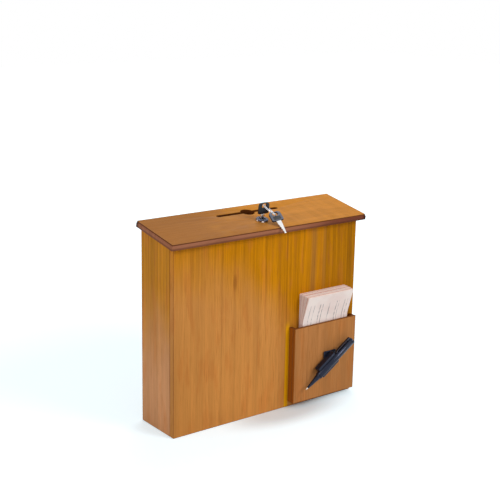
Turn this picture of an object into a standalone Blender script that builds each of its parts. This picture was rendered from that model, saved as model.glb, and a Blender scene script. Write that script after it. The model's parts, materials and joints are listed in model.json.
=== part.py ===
"""A wooden suggestion box: sloping lid with a letter slot and a cam lock, card pocket, pen in a holder.

Metres, +Z up. The origin is the middle of the body's base, +X runs to the right and +Y to the back.
"""
import math

import bmesh
import bpy
from mathutils import Matrix, Vector

# Fits and cuts
GAP = 0.0003
OVERRUN = 0.004
MERGE = 0.00001
MILLIMETRE = 0.001
SMOOTH_ANGLE = math.radians(35)

# Body
BODY_WIDTH = 0.381
BODY_DEPTH = 0.094
BODY_FRONT_HEIGHT = 0.3178
WALL = 0.010
BOTTOM = 0.010
PANEL_EASE = 0.0008
SLOPE = math.radians(10)

# Lid
LID_BOARD = 0.0085
LID_STEP_HEIGHT = 0.0015
LID_STEP_INSET = 0.0013
LID_NOSE_RADIUS = 0.003
LID_NOSE_SEGMENTS = 4
ROUND_PROFILE_SHARE = 0.5
LID_SIDE_OVERHANG = 0.01015
LID_FRONT_OVERHANG = 0.01125
LID_BACK_INSET = 0.00126
SLOT_LENGTH = 0.1275
SLOT_WIDTH = 0.0085
SLOT_HOLE_RADIUS = 0.01225
SLOT_FROM_FRONT = 0.0779

# Hinges
HINGE_FROM_SIDE = 0.0655
HINGE_LENGTH = 0.050
LEAF_THICKNESS = 0.001
LEAF_REACH = 0.0115
KNUCKLE_RADIUS = 0.0024
KNUCKLE_TO_WALL = 0.0005
HINGE_PIN_RADIUS = 0.0011
HINGE_PIN_HEAD = 0.0006
HINGE_SCREW_SPACING = 0.032
HINGE_SCREW_LENGTH = 0.0075
HINGE_SCREW_RADIUS = 0.0011
HINGE_SCREW_HEAD_RADIUS = 0.0022

# Lock
BEZEL_RADIUS = 0.0105
BEZEL_HEIGHT = 0.0035
BEZEL_SLANT = 0.0012
BARREL_RADIUS = 0.008
BARREL_LENGTH = 0.024
PLUG_RADIUS = 0.0055
PLUG_RECESS = 0.0006
PLUG_SQUARE = 0.006
PLUG_BEYOND_CAM = 0.0002
WASHER_RIM = 0.004
WASHER_TO_WALL = 0.0039
WASHER_THICKNESS = 0.001
NUT_WALL = 0.002
NUT_THICKNESS = 0.004
CAM_THICKNESS = 0.0018
CAM_DROP = 0.0006
CAM_WINDOW_CLEARANCE = 0.0002
CAM_TO_WALL = 0.0015
CAM_HUB_WIDTH = 0.014
CAM_TIP_WIDTH = 0.010
CAM_SCREW_HEAD_RADIUS = 0.004
CAM_SCREW_HEAD = 0.0018
CAM_SCREW_RADIUS = 0.0015
CAM_SCREW_LENGTH = 0.0042

# Strike inside the front panel
STRIKE_WIDTH = 0.030
STRIKE_THICKNESS = 0.0015
STRIKE_BELOW_LID = 0.0015
STRIKE_REACH = 0.0075
STRIKE_OVER_CAM = 0.0008
STRIKE_SCREW_SPACING = 0.020
STRIKE_SCREW_HEAD_RADIUS = 0.003
STRIKE_SCREW_HEAD = 0.0012
STRIKE_SCREW_RADIUS = 0.0014
STRIKE_SCREW_LENGTH = 0.007

# Keys
KEY_STANDING = 0.0125
KEY_BLADE_WIDTH = 0.0084
KEY_BLADE_TIP_WIDTH = 0.005
KEY_BLADE_THICKNESS = 0.002
KEY_BLADE_LENGTH = 0.027
KEY_NECK_LENGTH = 0.009
KEY_BIT_DEPTH = 0.0012
KEY_BITS = 4
KEY_TANG_WIDTH = 0.006
KEY_TANG_THICKNESS = 0.0012
KEY_TANG_LENGTH = 0.008
KEY_BOW_WIDTH = 0.0206
KEY_BOW_HEIGHT = 0.0192
KEY_BOW_THICKNESS = 0.003
KEY_BOW_CORNER = 0.005
KEY_EYE_WIDTH = 0.010
KEY_EYE_HEIGHT = 0.008
KEY_EYE_PLACE = 0.0142

# Split ring and the key that hangs on it
RING_RADIUS = 0.01315
RING_WIRE = 0.001
RING_PITCH = 0.00145
RING_TURNS = 2
RING_LOOP_POINTS = 24
RING_TWIST = math.radians(11.5)
RING_IN_EYE_ACROSS = -0.00106
RING_IN_EYE_UP = 0.0011
RING_IN_HUNG_EYE_ACROSS = -0.0007
RING_IN_HUNG_EYE_THROUGH = -0.0002
RING_IN_HUNG_EYE_UP = -0.0015
HUNG_KEY_AT_EDGE = 0.0129
HUNG_KEY_PITCH = math.radians(25.6)
HUNG_KEY_YAW = math.radians(-5.2)
HUNG_KEY_ROLL = math.radians(11.5)
HUNG_KEY_REST_SHARE = 0.45

# Card pocket
POCKET_FROM_SIDE = 0.0065
POCKET_WIDTH = 0.1387
POCKET_BASE = 0.010
POCKET_HEIGHT = 0.1355
POCKET_DEPTH = 0.016
POCKET_BOARD = 0.005
POCKET_EASE = 0.0008

# Cards
CARD_HEIGHT = 0.1855
CARD_LEFT_CLEARANCE = 0.0157
CARD_RIGHT_CLEARANCE = 0.0114
CARD_LEAVES = 10
CARD_SPACING = 0.00035
CARD_LEAN = math.radians(17.5)
CARD_BEND_STEPS = 4
CARD_BEND_LENGTH = 0.012

# Pen holder
HOLDER_FROM_POCKET_EDGE = 0.0607
HOLDER_OVER_POCKET_BASE = 0.0693
PEN_ANGLE = math.radians(34.3)
PAD_SIZE = 0.0246
PAD_THICKNESS = 0.0007
PLATE_SIZE = 0.0276
PLATE_THICKNESS = 0.0024
PLATE_EASE = 0.0006
CRADLE_LOW_END = 0.0351
CRADLE_HIGH_END = 0.0075
CRADLE_WIDTH = 0.022
CRADLE_BACK = 0.0032
CRADLE_WRAP = 0.0015
CRADLE_EASE = 0.0015
RIVET_RADIUS = 0.0018
RIVET_HEAD_RADIUS = 0.0032
RIVET_HEAD = 0.0008

# Pen
PEN_LENGTH = 0.125
PEN_RADIUS = 0.0063
PEN_BORE = 0.0042
PEN_NOSE_LENGTH = 0.034
PEN_NOSE_SHARES = ((0.18, 0.29), (0.41, 0.44), (0.65, 0.70), (0.85, 0.905))
PEN_POINT_RADIUS = 0.0004
PEN_POINT_BASE_RADIUS = 0.0015
PEN_SPIGOT_RADIUS = 0.001
PEN_SPIGOT_LENGTH = 0.006
PEN_REFILL_RADIUS = 0.0015
PEN_REFILL_TO_CAP = 0.006
PEN_CAP_LENGTH = 0.004
PEN_CAP_SPIGOT = 0.005
PEN_CLIP_WIDTH = 0.0045
PEN_CLIP_LENGTH = 0.037
PEN_CLIP_END = 0.003
PEN_CLIP_THICKNESS = 0.0011
PEN_CLIP_LIFT = 0.0022
PEN_CLIP_FOOT = 0.005
PEN_CLIP_TO_CRADLE = 0.0024

# Finishes: colour, roughness, metallic
STAINED_WOOD = ((0.47, 0.19, 0.045), 0.42, 0.0)
EDGE_WOOD = ((0.30, 0.10, 0.03), 0.45, 0.0)
PLATED_STEEL = ((0.56, 0.56, 0.58), 0.35, 1.0)
CHROME = ((0.75, 0.76, 0.78), 0.12, 1.0)
DARK_METAL = ((0.10, 0.10, 0.12), 0.35, 1.0)
BRASS = ((0.62, 0.45, 0.20), 0.30, 1.0)
BLACK_PLASTIC = ((0.015, 0.016, 0.022), 0.32, 0.0)
FOAM = ((0.72, 0.72, 0.70), 0.85, 0.0)
CARD = ((0.80, 0.70, 0.63), 0.70, 0.0)
INK = ((0.70, 0.72, 0.75), 0.35, 0.0)

PARTS = None
CUTTERS = None


# Making objects

def collection(name):
    made = bpy.data.collections.new(name)
    bpy.context.scene.collection.children.link(made)
    return made


def frame(name, parent=None, location=(0, 0, 0), rotation=(0, 0, 0)):
    """An empty that other pieces are placed from."""
    empty = bpy.data.objects.new(name, None)
    CUTTERS.objects.link(empty)
    empty.parent = parent
    empty.location = location
    empty.rotation_euler = rotation
    return empty


def material(name, finish):
    colour, roughness, metallic = finish
    made = bpy.data.materials.new(name)
    made.use_nodes = True
    shader = made.node_tree.nodes["Principled BSDF"]
    shader.inputs["Base Color"].default_value = (*colour, 1)
    shader.inputs["Roughness"].default_value = roughness
    shader.inputs["Metallic"].default_value = metallic
    made.diffuse_color = (*colour, 1)
    return made


def piece(name, data, finish, parent=None, location=(0, 0, 0), rotation=(0, 0, 0)):
    """One sub-part of the box, with its own material."""
    obj = bpy.data.objects.new(name, data)
    PARTS.objects.link(obj)
    obj.parent = parent
    obj.location = location
    obj.rotation_euler = rotation
    data.materials.append(material(name, finish))
    return obj


def tool(name, data, parent=None, location=(0, 0, 0), rotation=(0, 0, 0)):
    """A solid that cuts a sub-part or is joined to one."""
    obj = bpy.data.objects.new(name, data)
    CUTTERS.objects.link(obj)
    obj.parent = parent
    obj.location = location
    obj.rotation_euler = rotation
    obj.hide_render = True
    obj.display_type = 'WIRE'
    return obj


def combine(obj, other, operation):
    step = obj.modifiers.new(other.name, 'BOOLEAN')
    step.operation = operation
    step.object = other


def cut(obj, *others):
    for other in others:
        combine(obj, other, 'DIFFERENCE')


def join(obj, *others):
    for other in others:
        combine(obj, other, 'UNION')


def ease(obj, width, segments=1):
    step = obj.modifiers.new("eased_edges", 'BEVEL')
    step.width = width
    step.segments = segments
    step.limit_method = 'ANGLE'


def round_off(mesh):
    mesh.shade_smooth()
    mesh.set_sharp_from_angle(angle=SMOOTH_ANGLE)


# Making meshes

def mesh_of(name, bm):
    made = bpy.data.meshes.new(name)
    bm.normal_update()
    bm.to_mesh(made)
    bm.free()
    return made


def add_box(bm, low, high):
    low, high = Vector(low), Vector(high)
    size = Matrix.Diagonal((*(high - low), 1))
    return bmesh.ops.create_cube(bm, size=1, matrix=Matrix.Translation((low + high) / 2) @ size)["verts"]


def box(name, *corners):
    """A mesh of one or more boxes, each given by its lowest and highest corner."""
    bm = bmesh.new()
    for low, high in zip(corners[::2], corners[1::2]):
        add_box(bm, low, high)
    return mesh_of(name, bm)


def rods(name, radius, ends, sides=16):
    """A mesh of round rods between pairs of points."""
    bm = bmesh.new()
    for start, end in ends:
        start, end = Vector(start), Vector(end)
        along = end - start
        turn = along.to_track_quat('Z', 'Y').to_matrix().to_4x4()
        place = Matrix.Translation((start + end) / 2) @ turn
        bmesh.ops.create_cone(bm, cap_ends=True, segments=sides, radius1=radius, radius2=radius,
                              depth=along.length, matrix=place)
    made = mesh_of(name, bm)
    round_off(made)
    return made


def turned(name, profile, sides=24, closed=False):
    """A mesh turned about Z. The profile runs down the outer side; a closed one comes back up a bore."""
    bm = bmesh.new()
    points = [bm.verts.new((radius, 0, height)) for radius, height in profile]
    for first, second in zip(points, points[1:]):
        bm.edges.new((first, second))
    if closed:
        bm.edges.new((points[-1], points[0]))
    guide = bpy.data.objects.new(name, mesh_of(name, bm))
    CUTTERS.objects.link(guide)
    turn = guide.modifiers.new("turned", 'SCREW')
    turn.steps = sides
    turn.render_steps = sides
    turn.use_merge_vertices = True
    turn.merge_threshold = MERGE
    made = evaluated(guide)
    round_off(made)
    return made


def evaluated(guide):
    """The finished mesh of a guide object, which is then removed."""
    graph = bpy.context.evaluated_depsgraph_get()
    graph.update()
    made = bpy.data.meshes.new_from_object(guide.evaluated_get(graph), depsgraph=graph)
    made.name = guide.name
    data = guide.data
    bpy.data.objects.remove(guide)
    bpy.data.batch_remove([data])
    bm = bmesh.new()
    bm.from_mesh(made)
    bmesh.ops.remove_doubles(bm, verts=bm.verts, dist=MERGE)
    bm.to_mesh(made)
    bm.free()
    made.materials.clear()
    return made


def flat(name, outlines, thickness):
    """A mesh of flat outlines in XY, as thick as given and centred on z zero."""
    curve = bpy.data.curves.new(name, 'CURVE')
    curve.dimensions = '2D'
    curve.fill_mode = 'BOTH'
    curve.extrude = thickness / 2
    for outline in outlines:
        spline = curve.splines.new('POLY')
        spline.points.add(len(outline) - 1)
        for point, (x, y) in zip(spline.points, outline):
            point.co = (x, y, 0, 1)
        spline.use_cyclic_u = True
    guide = bpy.data.objects.new(name, curve)
    CUTTERS.objects.link(guide)
    return evaluated(guide)


def arc(centre, radius, start, end, steps):
    """Points of an arc, both ends included; angles in turns."""
    points = []
    for i in range(steps + 1):
        angle = 2 * math.pi * (start + (end - start) * i / steps)
        points.append((centre[0] + radius * math.cos(angle), centre[1] + radius * math.sin(angle)))
    return points


def rounded_outline(width, height, radius, centre=(0, 0), steps=4):
    x, y = width / 2 - radius, height / 2 - radius
    corners = ((x, y, 0.0), (-x, y, 0.25), (-x, -y, 0.5), (x, -y, 0.75))
    points = []
    for cx, cy, start in corners:
        points += arc((centre[0] + cx, centre[1] + cy), radius, start, start + 0.25, steps)
    kept = []
    for point in points:
        if not kept or math.dist(point, kept[-1]) > MERGE:
            kept.append(point)
    if math.dist(kept[0], kept[-1]) <= MERGE:
        kept.pop()
    return kept


def copies(name, mesh, places):
    """One mesh that holds a copy of another at each place."""
    bm = bmesh.new()
    for place in places:
        copy = mesh.copy()
        copy.transform(place)
        bm.from_mesh(copy)
        bpy.data.meshes.remove(copy)
    made = mesh_of(name, bm)
    round_off(made)
    return made


def screw_mesh(name, head_radius, head, radius, length, countersunk, clearance=0):
    """A screw pointing down from z zero; with a clearance it is the hole for one."""
    outer, shank = head_radius + clearance, radius + clearance
    rim = 0 if countersunk else -head - clearance
    neck = radius - head_radius if countersunk else rim
    profile = [(0, clearance), (outer, clearance)]
    if clearance or not countersunk:
        profile.append((outer, rim))
    profile += [(shank, neck), (shank, -length - clearance), (0, -length - clearance)]
    return turned(name, profile, sides=10)


# Places that several pieces share

FRONT = -BODY_DEPTH / 2
BACK = BODY_DEPTH / 2
SIDE = BODY_WIDTH / 2
LID_THICKNESS = LID_BOARD + LID_STEP_HEIGHT
POCKET_RIGHT = SIDE - POCKET_FROM_SIDE
POCKET_LEFT = POCKET_RIGHT - POCKET_WIDTH
POCKET_TOP = POCKET_BASE + POCKET_HEIGHT
POCKET_FACE = FRONT - POCKET_DEPTH
POCKET_INNER = POCKET_FACE + POCKET_BOARD
CARD_WIDTH = POCKET_WIDTH - 2 * POCKET_BOARD - CARD_LEFT_CLEARANCE - CARD_RIGHT_CLEARANCE
HINGE_OFFSET = SIDE - HINGE_FROM_SIDE
HINGE_BEHIND = KNUCKLE_RADIUS + KNUCKLE_TO_WALL
LEAF_EDGE = KNUCKLE_RADIUS + GAP


def wall_top(y):
    return BODY_FRONT_HEIGHT + (y - FRONT) * math.tan(SLOPE)


# On the hinge frame, y runs up the slope from the hinge axis and z stands square to the lid
HINGE_Y = BACK + HINGE_BEHIND
HINGE_Z = wall_top(HINGE_Y) + GAP / 2 / math.cos(SLOPE)
LID_UNDER = GAP / 2


def height_on_slope(y, rise):
    """Height at depth y of the plane that lies rise above the joint between lid and body."""
    return HINGE_Z + (y - HINGE_Y) * math.tan(SLOPE) + rise / math.cos(SLOPE)


LID_TOP = LID_UNDER + LID_THICKNESS
LID_BACK = -HINGE_BEHIND / math.cos(SLOPE) - LID_BACK_INSET
LID_FRONT = -(BODY_DEPTH + HINGE_BEHIND) / math.cos(SLOPE) - LID_FRONT_OVERHANG
LID_HALF = SIDE + LID_SIDE_OVERHANG
SLOT_PLACE = LID_FRONT + SLOT_FROM_FRONT
WASHER_RADIUS = BARREL_RADIUS + WASHER_RIM
LOCK_TO_WALL = WASHER_TO_WALL + WASHER_RADIUS
LOCK_PLACE = LID_FRONT + LID_FRONT_OVERHANG + WALL / math.cos(SLOPE) + LOCK_TO_WALL

# On the lock frame, z is zero on the lid's top
LID_BELOW_LOCK = -LID_THICKNESS
WASHER_TOP = LID_BELOW_LOCK - GAP
NUT_TOP = WASHER_TOP - WASHER_THICKNESS - GAP
CAM_TOP = -BARREL_LENGTH - CAM_DROP
CAM_REACH = LOCK_TO_WALL + (LID_BELOW_LOCK - CAM_TOP) * math.tan(SLOPE) - CAM_TO_WALL
PLUG_LENGTH = -CAM_TOP + CAM_THICKNESS + PLUG_BEYOND_CAM
PLUG_TOP = GAP + BEZEL_HEIGHT - PLUG_RECESS
KEY_TIP = KEY_STANDING - KEY_BLADE_LENGTH
KEYWAY_WIDTH = KEY_BLADE_WIDTH + 2 * GAP
KEYWAY_THICKNESS = KEY_BLADE_THICKNESS + 2 * GAP


# Body

def panel(name, low, high, finish=STAINED_WOOD):
    """A board whose top follows the slope of the lid."""
    bm = bmesh.new()
    for vert in add_box(bm, (*low, 0), (*high, BODY_FRONT_HEIGHT)):
        if vert.co.z > 0:
            vert.co.z = wall_top(vert.co.y)
    return piece(name, mesh_of(name, bm), finish)


def make_body():
    inner_x = SIDE - WALL
    inner_y = FRONT + WALL + GAP
    front = panel("front_panel", (-SIDE, FRONT), (SIDE, FRONT + WALL))
    left = panel("left_panel", (-SIDE, inner_y), (-inner_x, BACK))
    right = panel("right_panel", (inner_x, inner_y), (SIDE, BACK))
    back = panel("back_panel", (-inner_x + GAP, BACK - WALL), (inner_x - GAP, BACK))
    low = (-inner_x + GAP, inner_y, 0)
    high = (inner_x - GAP, BACK - WALL - GAP, BOTTOM)
    piece("bottom_panel", box("bottom_panel", low, high), EDGE_WOOD)
    for board in (front, left, right, back):
        ease(board, PANEL_EASE)
    return front, back


# Lid

def make_lid(hinge):
    bm = bmesh.new()
    add_box(bm, (-LID_HALF, LID_FRONT, LID_UNDER), (LID_HALF, LID_BACK, LID_UNDER + LID_BOARD))
    rounded = [e for e in bm.edges if all(v.co.z > LID_UNDER + LID_BOARD / 2 for v in e.verts)
               and not all(v.co.y > LID_BACK - MERGE for v in e.verts)]
    bmesh.ops.bevel(bm, geom=rounded, offset=LID_NOSE_RADIUS, segments=LID_NOSE_SEGMENTS,
                    profile=ROUND_PROFILE_SHARE, affect='EDGES')
    mesh = mesh_of("lid", bm)
    round_off(mesh)
    lid = piece("lid", mesh, STAINED_WOOD, hinge)
    inset = LID_HALF - LID_STEP_INSET
    low = (-inset, LID_FRONT + LID_STEP_INSET, LID_UNDER + LID_BOARD / 2)
    field = tool("lid_field", box("lid_field", low, (inset, LID_BACK, LID_TOP)), hinge)
    join(lid, field)
    slot = rounded_outline(SLOT_LENGTH, SLOT_WIDTH, SLOT_WIDTH / 2, steps=6)
    depth = LID_THICKNESS + 2 * OVERRUN
    middle = (LID_UNDER + LID_TOP) / 2
    slot_cut = tool("letter_slot", flat("letter_slot", [slot], depth), hinge, (0, SLOT_PLACE, middle))
    through = ((0, 0, -depth / 2), (0, 0, depth / 2))
    hole_cut = tool("slot_hole", rods("slot_hole", SLOT_HOLE_RADIUS, [through], 40), hinge,
                    (0, SLOT_PLACE, middle))
    lock_cut = tool("lock_hole", rods("lock_hole", BARREL_RADIUS + GAP, [through], 24), hinge,
                    (0, LOCK_PLACE, middle))
    cut(lid, slot_cut, hole_cut, lock_cut)
    return lid


# Hinges

def leaf(name, side, knuckles, centre, hinge):
    """A leaf of a hinge: side is 1 over the joint and -1 under it; knuckles are (start, end) along X."""
    near = side * GAP / 2
    far = near + side * LEAF_THICKNESS
    low, high = min(near, far), max(near, far)
    half = HINGE_LENGTH / 2
    obj = piece(name, box(name, (-half, -LEAF_REACH, low), (half, -LEAF_EDGE, high)), PLATED_STEEL, hinge,
                (centre, 0, 0))
    for i, (start, end) in enumerate(knuckles):
        tab = tool(f"{name}_tab_{i}", box(name, (start, -LEAF_EDGE * 2, low), (end, -HINGE_PIN_RADIUS, high)),
                   hinge, (centre, 0, 0))
        barrel = tool(f"{name}_knuckle_{i}", rods(name, KNUCKLE_RADIUS, [((start, 0, 0), (end, 0, 0))], 14),
                      hinge, (centre, 0, 0))
        join(obj, tab, barrel)
    reach = half + OVERRUN
    bore = tool(f"{name}_bore", rods(name, HINGE_PIN_RADIUS + GAP, [((-reach, 0, 0), (reach, 0, 0))], 12),
                hinge, (centre, 0, 0))
    cut(obj, bore)
    return obj


def make_hinges(hinge, back, lid):
    half = HINGE_LENGTH / 2
    third = HINGE_LENGTH / 3
    outer = ((-half, -third / 2 - GAP / 2), (third / 2 + GAP / 2, half))
    middle = ((-third / 2 + GAP / 2, third / 2 - GAP / 2),)
    screw_row = -(LEAF_EDGE + LEAF_REACH) / 2
    shape = screw_mesh("hinge_screw", HINGE_SCREW_HEAD_RADIUS, 0, HINGE_SCREW_RADIUS,
                       HINGE_SCREW_LENGTH, True)
    hollow = screw_mesh("hinge_screw_hole", HINGE_SCREW_HEAD_RADIUS, 0, HINGE_SCREW_RADIUS,
                        HINGE_SCREW_LENGTH, True, GAP)
    down, up = [], []
    for side, label in ((-1, "left"), (1, "right")):
        for i, end in enumerate((-1, 1), 1):
            x = side * HINGE_OFFSET + end * HINGE_SCREW_SPACING / 2
            low, high = (x, screw_row, -GAP / 2), (x, screw_row, GAP / 2)
            piece(f"hinge_{label}_body_screw_{i}", shape.copy(), PLATED_STEEL, hinge, low)
            piece(f"hinge_{label}_lid_screw_{i}", shape.copy(), PLATED_STEEL, hinge, high, (math.pi, 0, 0))
            down.append(Matrix.Translation(low))
            up.append(Matrix.Translation(high) @ Matrix.Rotation(math.pi, 4, 'X'))
    body_holes = tool("hinge_holes_body", copies("hinge_holes_body", hollow, down), hinge)
    lid_holes = tool("hinge_holes_lid", copies("hinge_holes_lid", hollow, up), hinge)
    room = LEAF_THICKNESS + GAP
    mortise_back = -LEAF_REACH - GAP
    for side, label in ((-1, "left"), (1, "right")):
        centre = side * HINGE_OFFSET
        fixed = leaf(f"hinge_{label}_fixed_leaf", -1, outer, centre, hinge)
        moving = leaf(f"hinge_{label}_moving_leaf", 1, middle, centre, hinge)
        cut(fixed, body_holes)
        cut(moving, lid_holes)
        reach = half + HINGE_PIN_HEAD + GAP
        piece(f"hinge_{label}_pin",
              turned(f"hinge_{label}_pin", pin_profile(reach), sides=12),
              PLATED_STEEL, hinge, (centre, 0, 0), (0, math.pi / 2, 0))
        low = (-half - GAP, mortise_back, -GAP / 2 - room)
        high = (half + GAP, OVERRUN, OVERRUN)
        cut(back, tool(f"mortise_{label}_body", box("mortise", low, high), hinge, (centre, 0, 0)))
        low = (-half - GAP, mortise_back, -OVERRUN)
        high = (half + GAP, OVERRUN, GAP / 2 + room)
        cut(lid, tool(f"mortise_{label}_lid", box("mortise", low, high), hinge, (centre, 0, 0)))
    cut(back, body_holes)
    cut(lid, lid_holes)


def pin_profile(reach):
    """A hinge pin with a low head at each end, drawn along Z."""
    neck = reach - HINGE_PIN_HEAD
    head = HINGE_PIN_RADIUS + HINGE_PIN_HEAD
    return [(0, reach), (head, reach), (head, neck), (HINGE_PIN_RADIUS, neck), (HINGE_PIN_RADIUS, -neck),
            (head, -neck), (head, -reach), (0, -reach)]


# Lock

def make_lock(lock):
    bore = PLUG_RADIUS + GAP
    housing = [(bore, GAP + BEZEL_HEIGHT), (BEZEL_RADIUS - BEZEL_SLANT, GAP + BEZEL_HEIGHT),
               (BEZEL_RADIUS, GAP + BEZEL_HEIGHT - BEZEL_SLANT), (BEZEL_RADIUS, GAP), (BARREL_RADIUS, GAP),
               (BARREL_RADIUS, -BARREL_LENGTH), (bore, -BARREL_LENGTH)]
    piece("lock_housing", turned("lock_housing", housing, sides=28, closed=True), CHROME, lock)

    hole = BARREL_RADIUS + GAP
    washer = [(WASHER_RADIUS, WASHER_TOP), (WASHER_RADIUS, WASHER_TOP - WASHER_THICKNESS),
              (hole, WASHER_TOP - WASHER_THICKNESS), (hole, WASHER_TOP)]
    piece("lock_washer", turned("lock_washer", washer, sides=24, closed=True), PLATED_STEEL, lock)
    corner = (BARREL_RADIUS + NUT_WALL) / math.cos(math.pi / 6)
    hexagon = arc((0, 0), corner, 0, 5 / 6, 5)
    ring = arc((0, 0), hole, 0, 23 / 24, 23)
    piece("lock_nut", flat("lock_nut", [hexagon, ring], NUT_THICKNESS), PLATED_STEEL, lock,
          (0, 0, NUT_TOP - NUT_THICKNESS / 2))

    square_top = -BARREL_LENGTH - GAP
    round_plug = [(0, PLUG_TOP), (PLUG_RADIUS, PLUG_TOP), (PLUG_RADIUS, square_top), (0, square_top)]
    plug = piece("lock_plug", turned("lock_plug", round_plug, sides=20), DARK_METAL, lock)
    half = PLUG_SQUARE / 2
    square = tool("plug_square", box("plug_square", (-half, -half, -PLUG_LENGTH),
                                     (half, half, square_top + PLUG_SQUARE / 2)), lock)
    keyway = tool("keyway", box("keyway", (-KEYWAY_WIDTH / 2, -KEYWAY_THICKNESS / 2, KEY_TIP - GAP),
                                (KEYWAY_WIDTH / 2, KEYWAY_THICKNESS / 2, PLUG_TOP + OVERRUN)), lock)
    tapping = ((0, 0, -PLUG_LENGTH - OVERRUN), (0, 0, -PLUG_LENGTH + CAM_SCREW_LENGTH))
    tapped = tool("cam_screw_hole", rods("cam_screw_hole", CAM_SCREW_RADIUS + GAP, [tapping], 10), lock)
    join(plug, square)
    cut(plug, keyway, tapped)

    hub, tip = CAM_HUB_WIDTH / 2, CAM_TIP_WIDTH / 2
    outline = arc((0, 0), hub, 0.25, 0.75, 8) + [(CAM_REACH - tip, -tip)]
    outline += arc((CAM_REACH - tip, 0), tip, -0.25, 0.25, 8)[1:]
    window = PLUG_SQUARE / 2 + CAM_WINDOW_CLEARANCE
    opening = [(window, window), (-window, window), (-window, -window), (window, -window)]
    piece("lock_cam", flat("lock_cam", [outline, opening], CAM_THICKNESS), PLATED_STEEL, lock,
          (0, 0, CAM_TOP - CAM_THICKNESS / 2))
    top = -PLUG_LENGTH - GAP
    screw = [(0, top + CAM_SCREW_LENGTH), (CAM_SCREW_RADIUS, top + CAM_SCREW_LENGTH), (CAM_SCREW_RADIUS, top),
             (CAM_SCREW_HEAD_RADIUS, top), (CAM_SCREW_HEAD_RADIUS, top - CAM_SCREW_HEAD),
             (0, top - CAM_SCREW_HEAD)]
    piece("cam_screw", turned("cam_screw", screw, sides=12), PLATED_STEEL, lock)


def make_strike(front):
    """An angle plate inside the front panel; its sloping leg lies over the turned cam."""
    face = FRONT + WALL + GAP
    inner = face + STRIKE_THICKNESS
    end = FRONT + WALL + STRIKE_REACH
    under = LID_TOP + CAM_TOP + STRIKE_OVER_CAM
    over = under + STRIKE_THICKNESS
    top = height_on_slope(face, LID_UNDER) - STRIKE_BELOW_LID
    outline = [(face, height_on_slope(face, under)), (end, height_on_slope(end, under)),
               (end, height_on_slope(end, over)), (inner, height_on_slope(inner, over)),
               (inner, top), (face, top)]
    strike = piece("lock_strike", flat("lock_strike", [outline], STRIKE_WIDTH), PLATED_STEEL,
                   rotation=(math.pi / 2, 0, math.pi / 2))
    height = (top + height_on_slope(inner, over)) / 2
    shape = screw_mesh("strike_screw", STRIKE_SCREW_HEAD_RADIUS, STRIKE_SCREW_HEAD, STRIKE_SCREW_RADIUS,
                       STRIKE_SCREW_LENGTH, False)
    for i, side in enumerate((-1, 1), 1):
        place = (side * STRIKE_SCREW_SPACING / 2, inner + GAP + STRIKE_SCREW_HEAD, height)
        piece(f"strike_screw_{i}", shape.copy(), PLATED_STEEL, None, place, (-math.pi / 2, 0, 0))
    start = inner + OVERRUN
    end = inner + GAP + STRIKE_SCREW_HEAD - STRIKE_SCREW_LENGTH - GAP
    ways = [((side * STRIKE_SCREW_SPACING / 2, start, height), (side * STRIKE_SCREW_SPACING / 2, end, height))
            for side in (-1, 1)]
    holes = tool("strike_holes", rods("strike_holes", STRIKE_SCREW_RADIUS + GAP, ways, 10))
    cut(strike, holes)
    cut(front, holes)


# Keys and ring

def key_outline():
    """The blade seen square on: straight neck, then bits cut in one edge up to a blunt tip."""
    wide, narrow = KEY_BLADE_WIDTH / 2, KEY_BLADE_TIP_WIDTH / 2
    neck, tip = -KEY_NECK_LENGTH, -KEY_BLADE_LENGTH
    outline = [(-wide, -GAP), (-wide, neck), (-narrow, tip), (narrow, tip)]
    step = (neck - tip) / (2 * KEY_BITS)
    for i in range(2 * KEY_BITS):
        share = i / (2 * KEY_BITS - 1)
        edge = narrow + (wide - narrow) * share
        depth = KEY_BIT_DEPTH if i % 2 else 0
        outline.append((edge - depth, tip + step * (i + 0.5)))
    return outline + [(wide, neck), (wide, -GAP)]


def make_key(label, parent):
    """A key whose blade points down Z from the frame's origin, with its bow above."""
    upright = (math.pi / 2, 0, 0)
    blade = piece(f"{label}_blade", flat(f"{label}_blade", [key_outline()], KEY_BLADE_THICKNESS),
                  PLATED_STEEL, parent, rotation=upright)
    x, y = KEY_TANG_WIDTH / 2, KEY_TANG_THICKNESS / 2
    tang = tool(f"{label}_tang", box("tang", (-x, -y, -KEY_TANG_WIDTH / 2), (x, y, KEY_TANG_LENGTH)), parent)
    join(blade, tang)
    outline = rounded_outline(KEY_BOW_WIDTH, KEY_BOW_HEIGHT, KEY_BOW_CORNER, (0, KEY_BOW_HEIGHT / 2))
    eye = rounded_outline(KEY_EYE_WIDTH, KEY_EYE_HEIGHT, KEY_EYE_HEIGHT / 2, (0, KEY_EYE_PLACE))
    bow = piece(f"{label}_bow", flat(f"{label}_bow", [outline, eye], KEY_BOW_THICKNESS), BLACK_PLASTIC,
                parent, rotation=upright)
    low = (-x - GAP, -y - GAP, -OVERRUN)
    high = (x + GAP, y + GAP, KEY_TANG_LENGTH + GAP)
    cut(bow, tool(f"{label}_socket", box("socket", low, high), parent))


def hung_key_turn():
    """Key 2's turn on the hinge frame: its blade points forward and down, rolled a little to one side."""
    level = math.cos(HUNG_KEY_PITCH)
    up = Vector((-level * math.sin(HUNG_KEY_YAW), level * math.cos(HUNG_KEY_YAW), math.sin(HUNG_KEY_PITCH)))
    across = Vector((0, 0, 1)).cross(up).normalized()
    across = across * math.cos(HUNG_KEY_ROLL) + across.cross(up) * math.sin(HUNG_KEY_ROLL)
    return Matrix((across, up.cross(across), up)).transposed()


def ring_in_key_1():
    """Where the ring passes through key 1's eye, on the hinge frame."""
    height = LID_TOP + KEY_STANDING + KEY_EYE_PLACE + RING_IN_EYE_UP
    return Vector((RING_IN_EYE_ACROSS, LOCK_PLACE, height))


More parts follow.
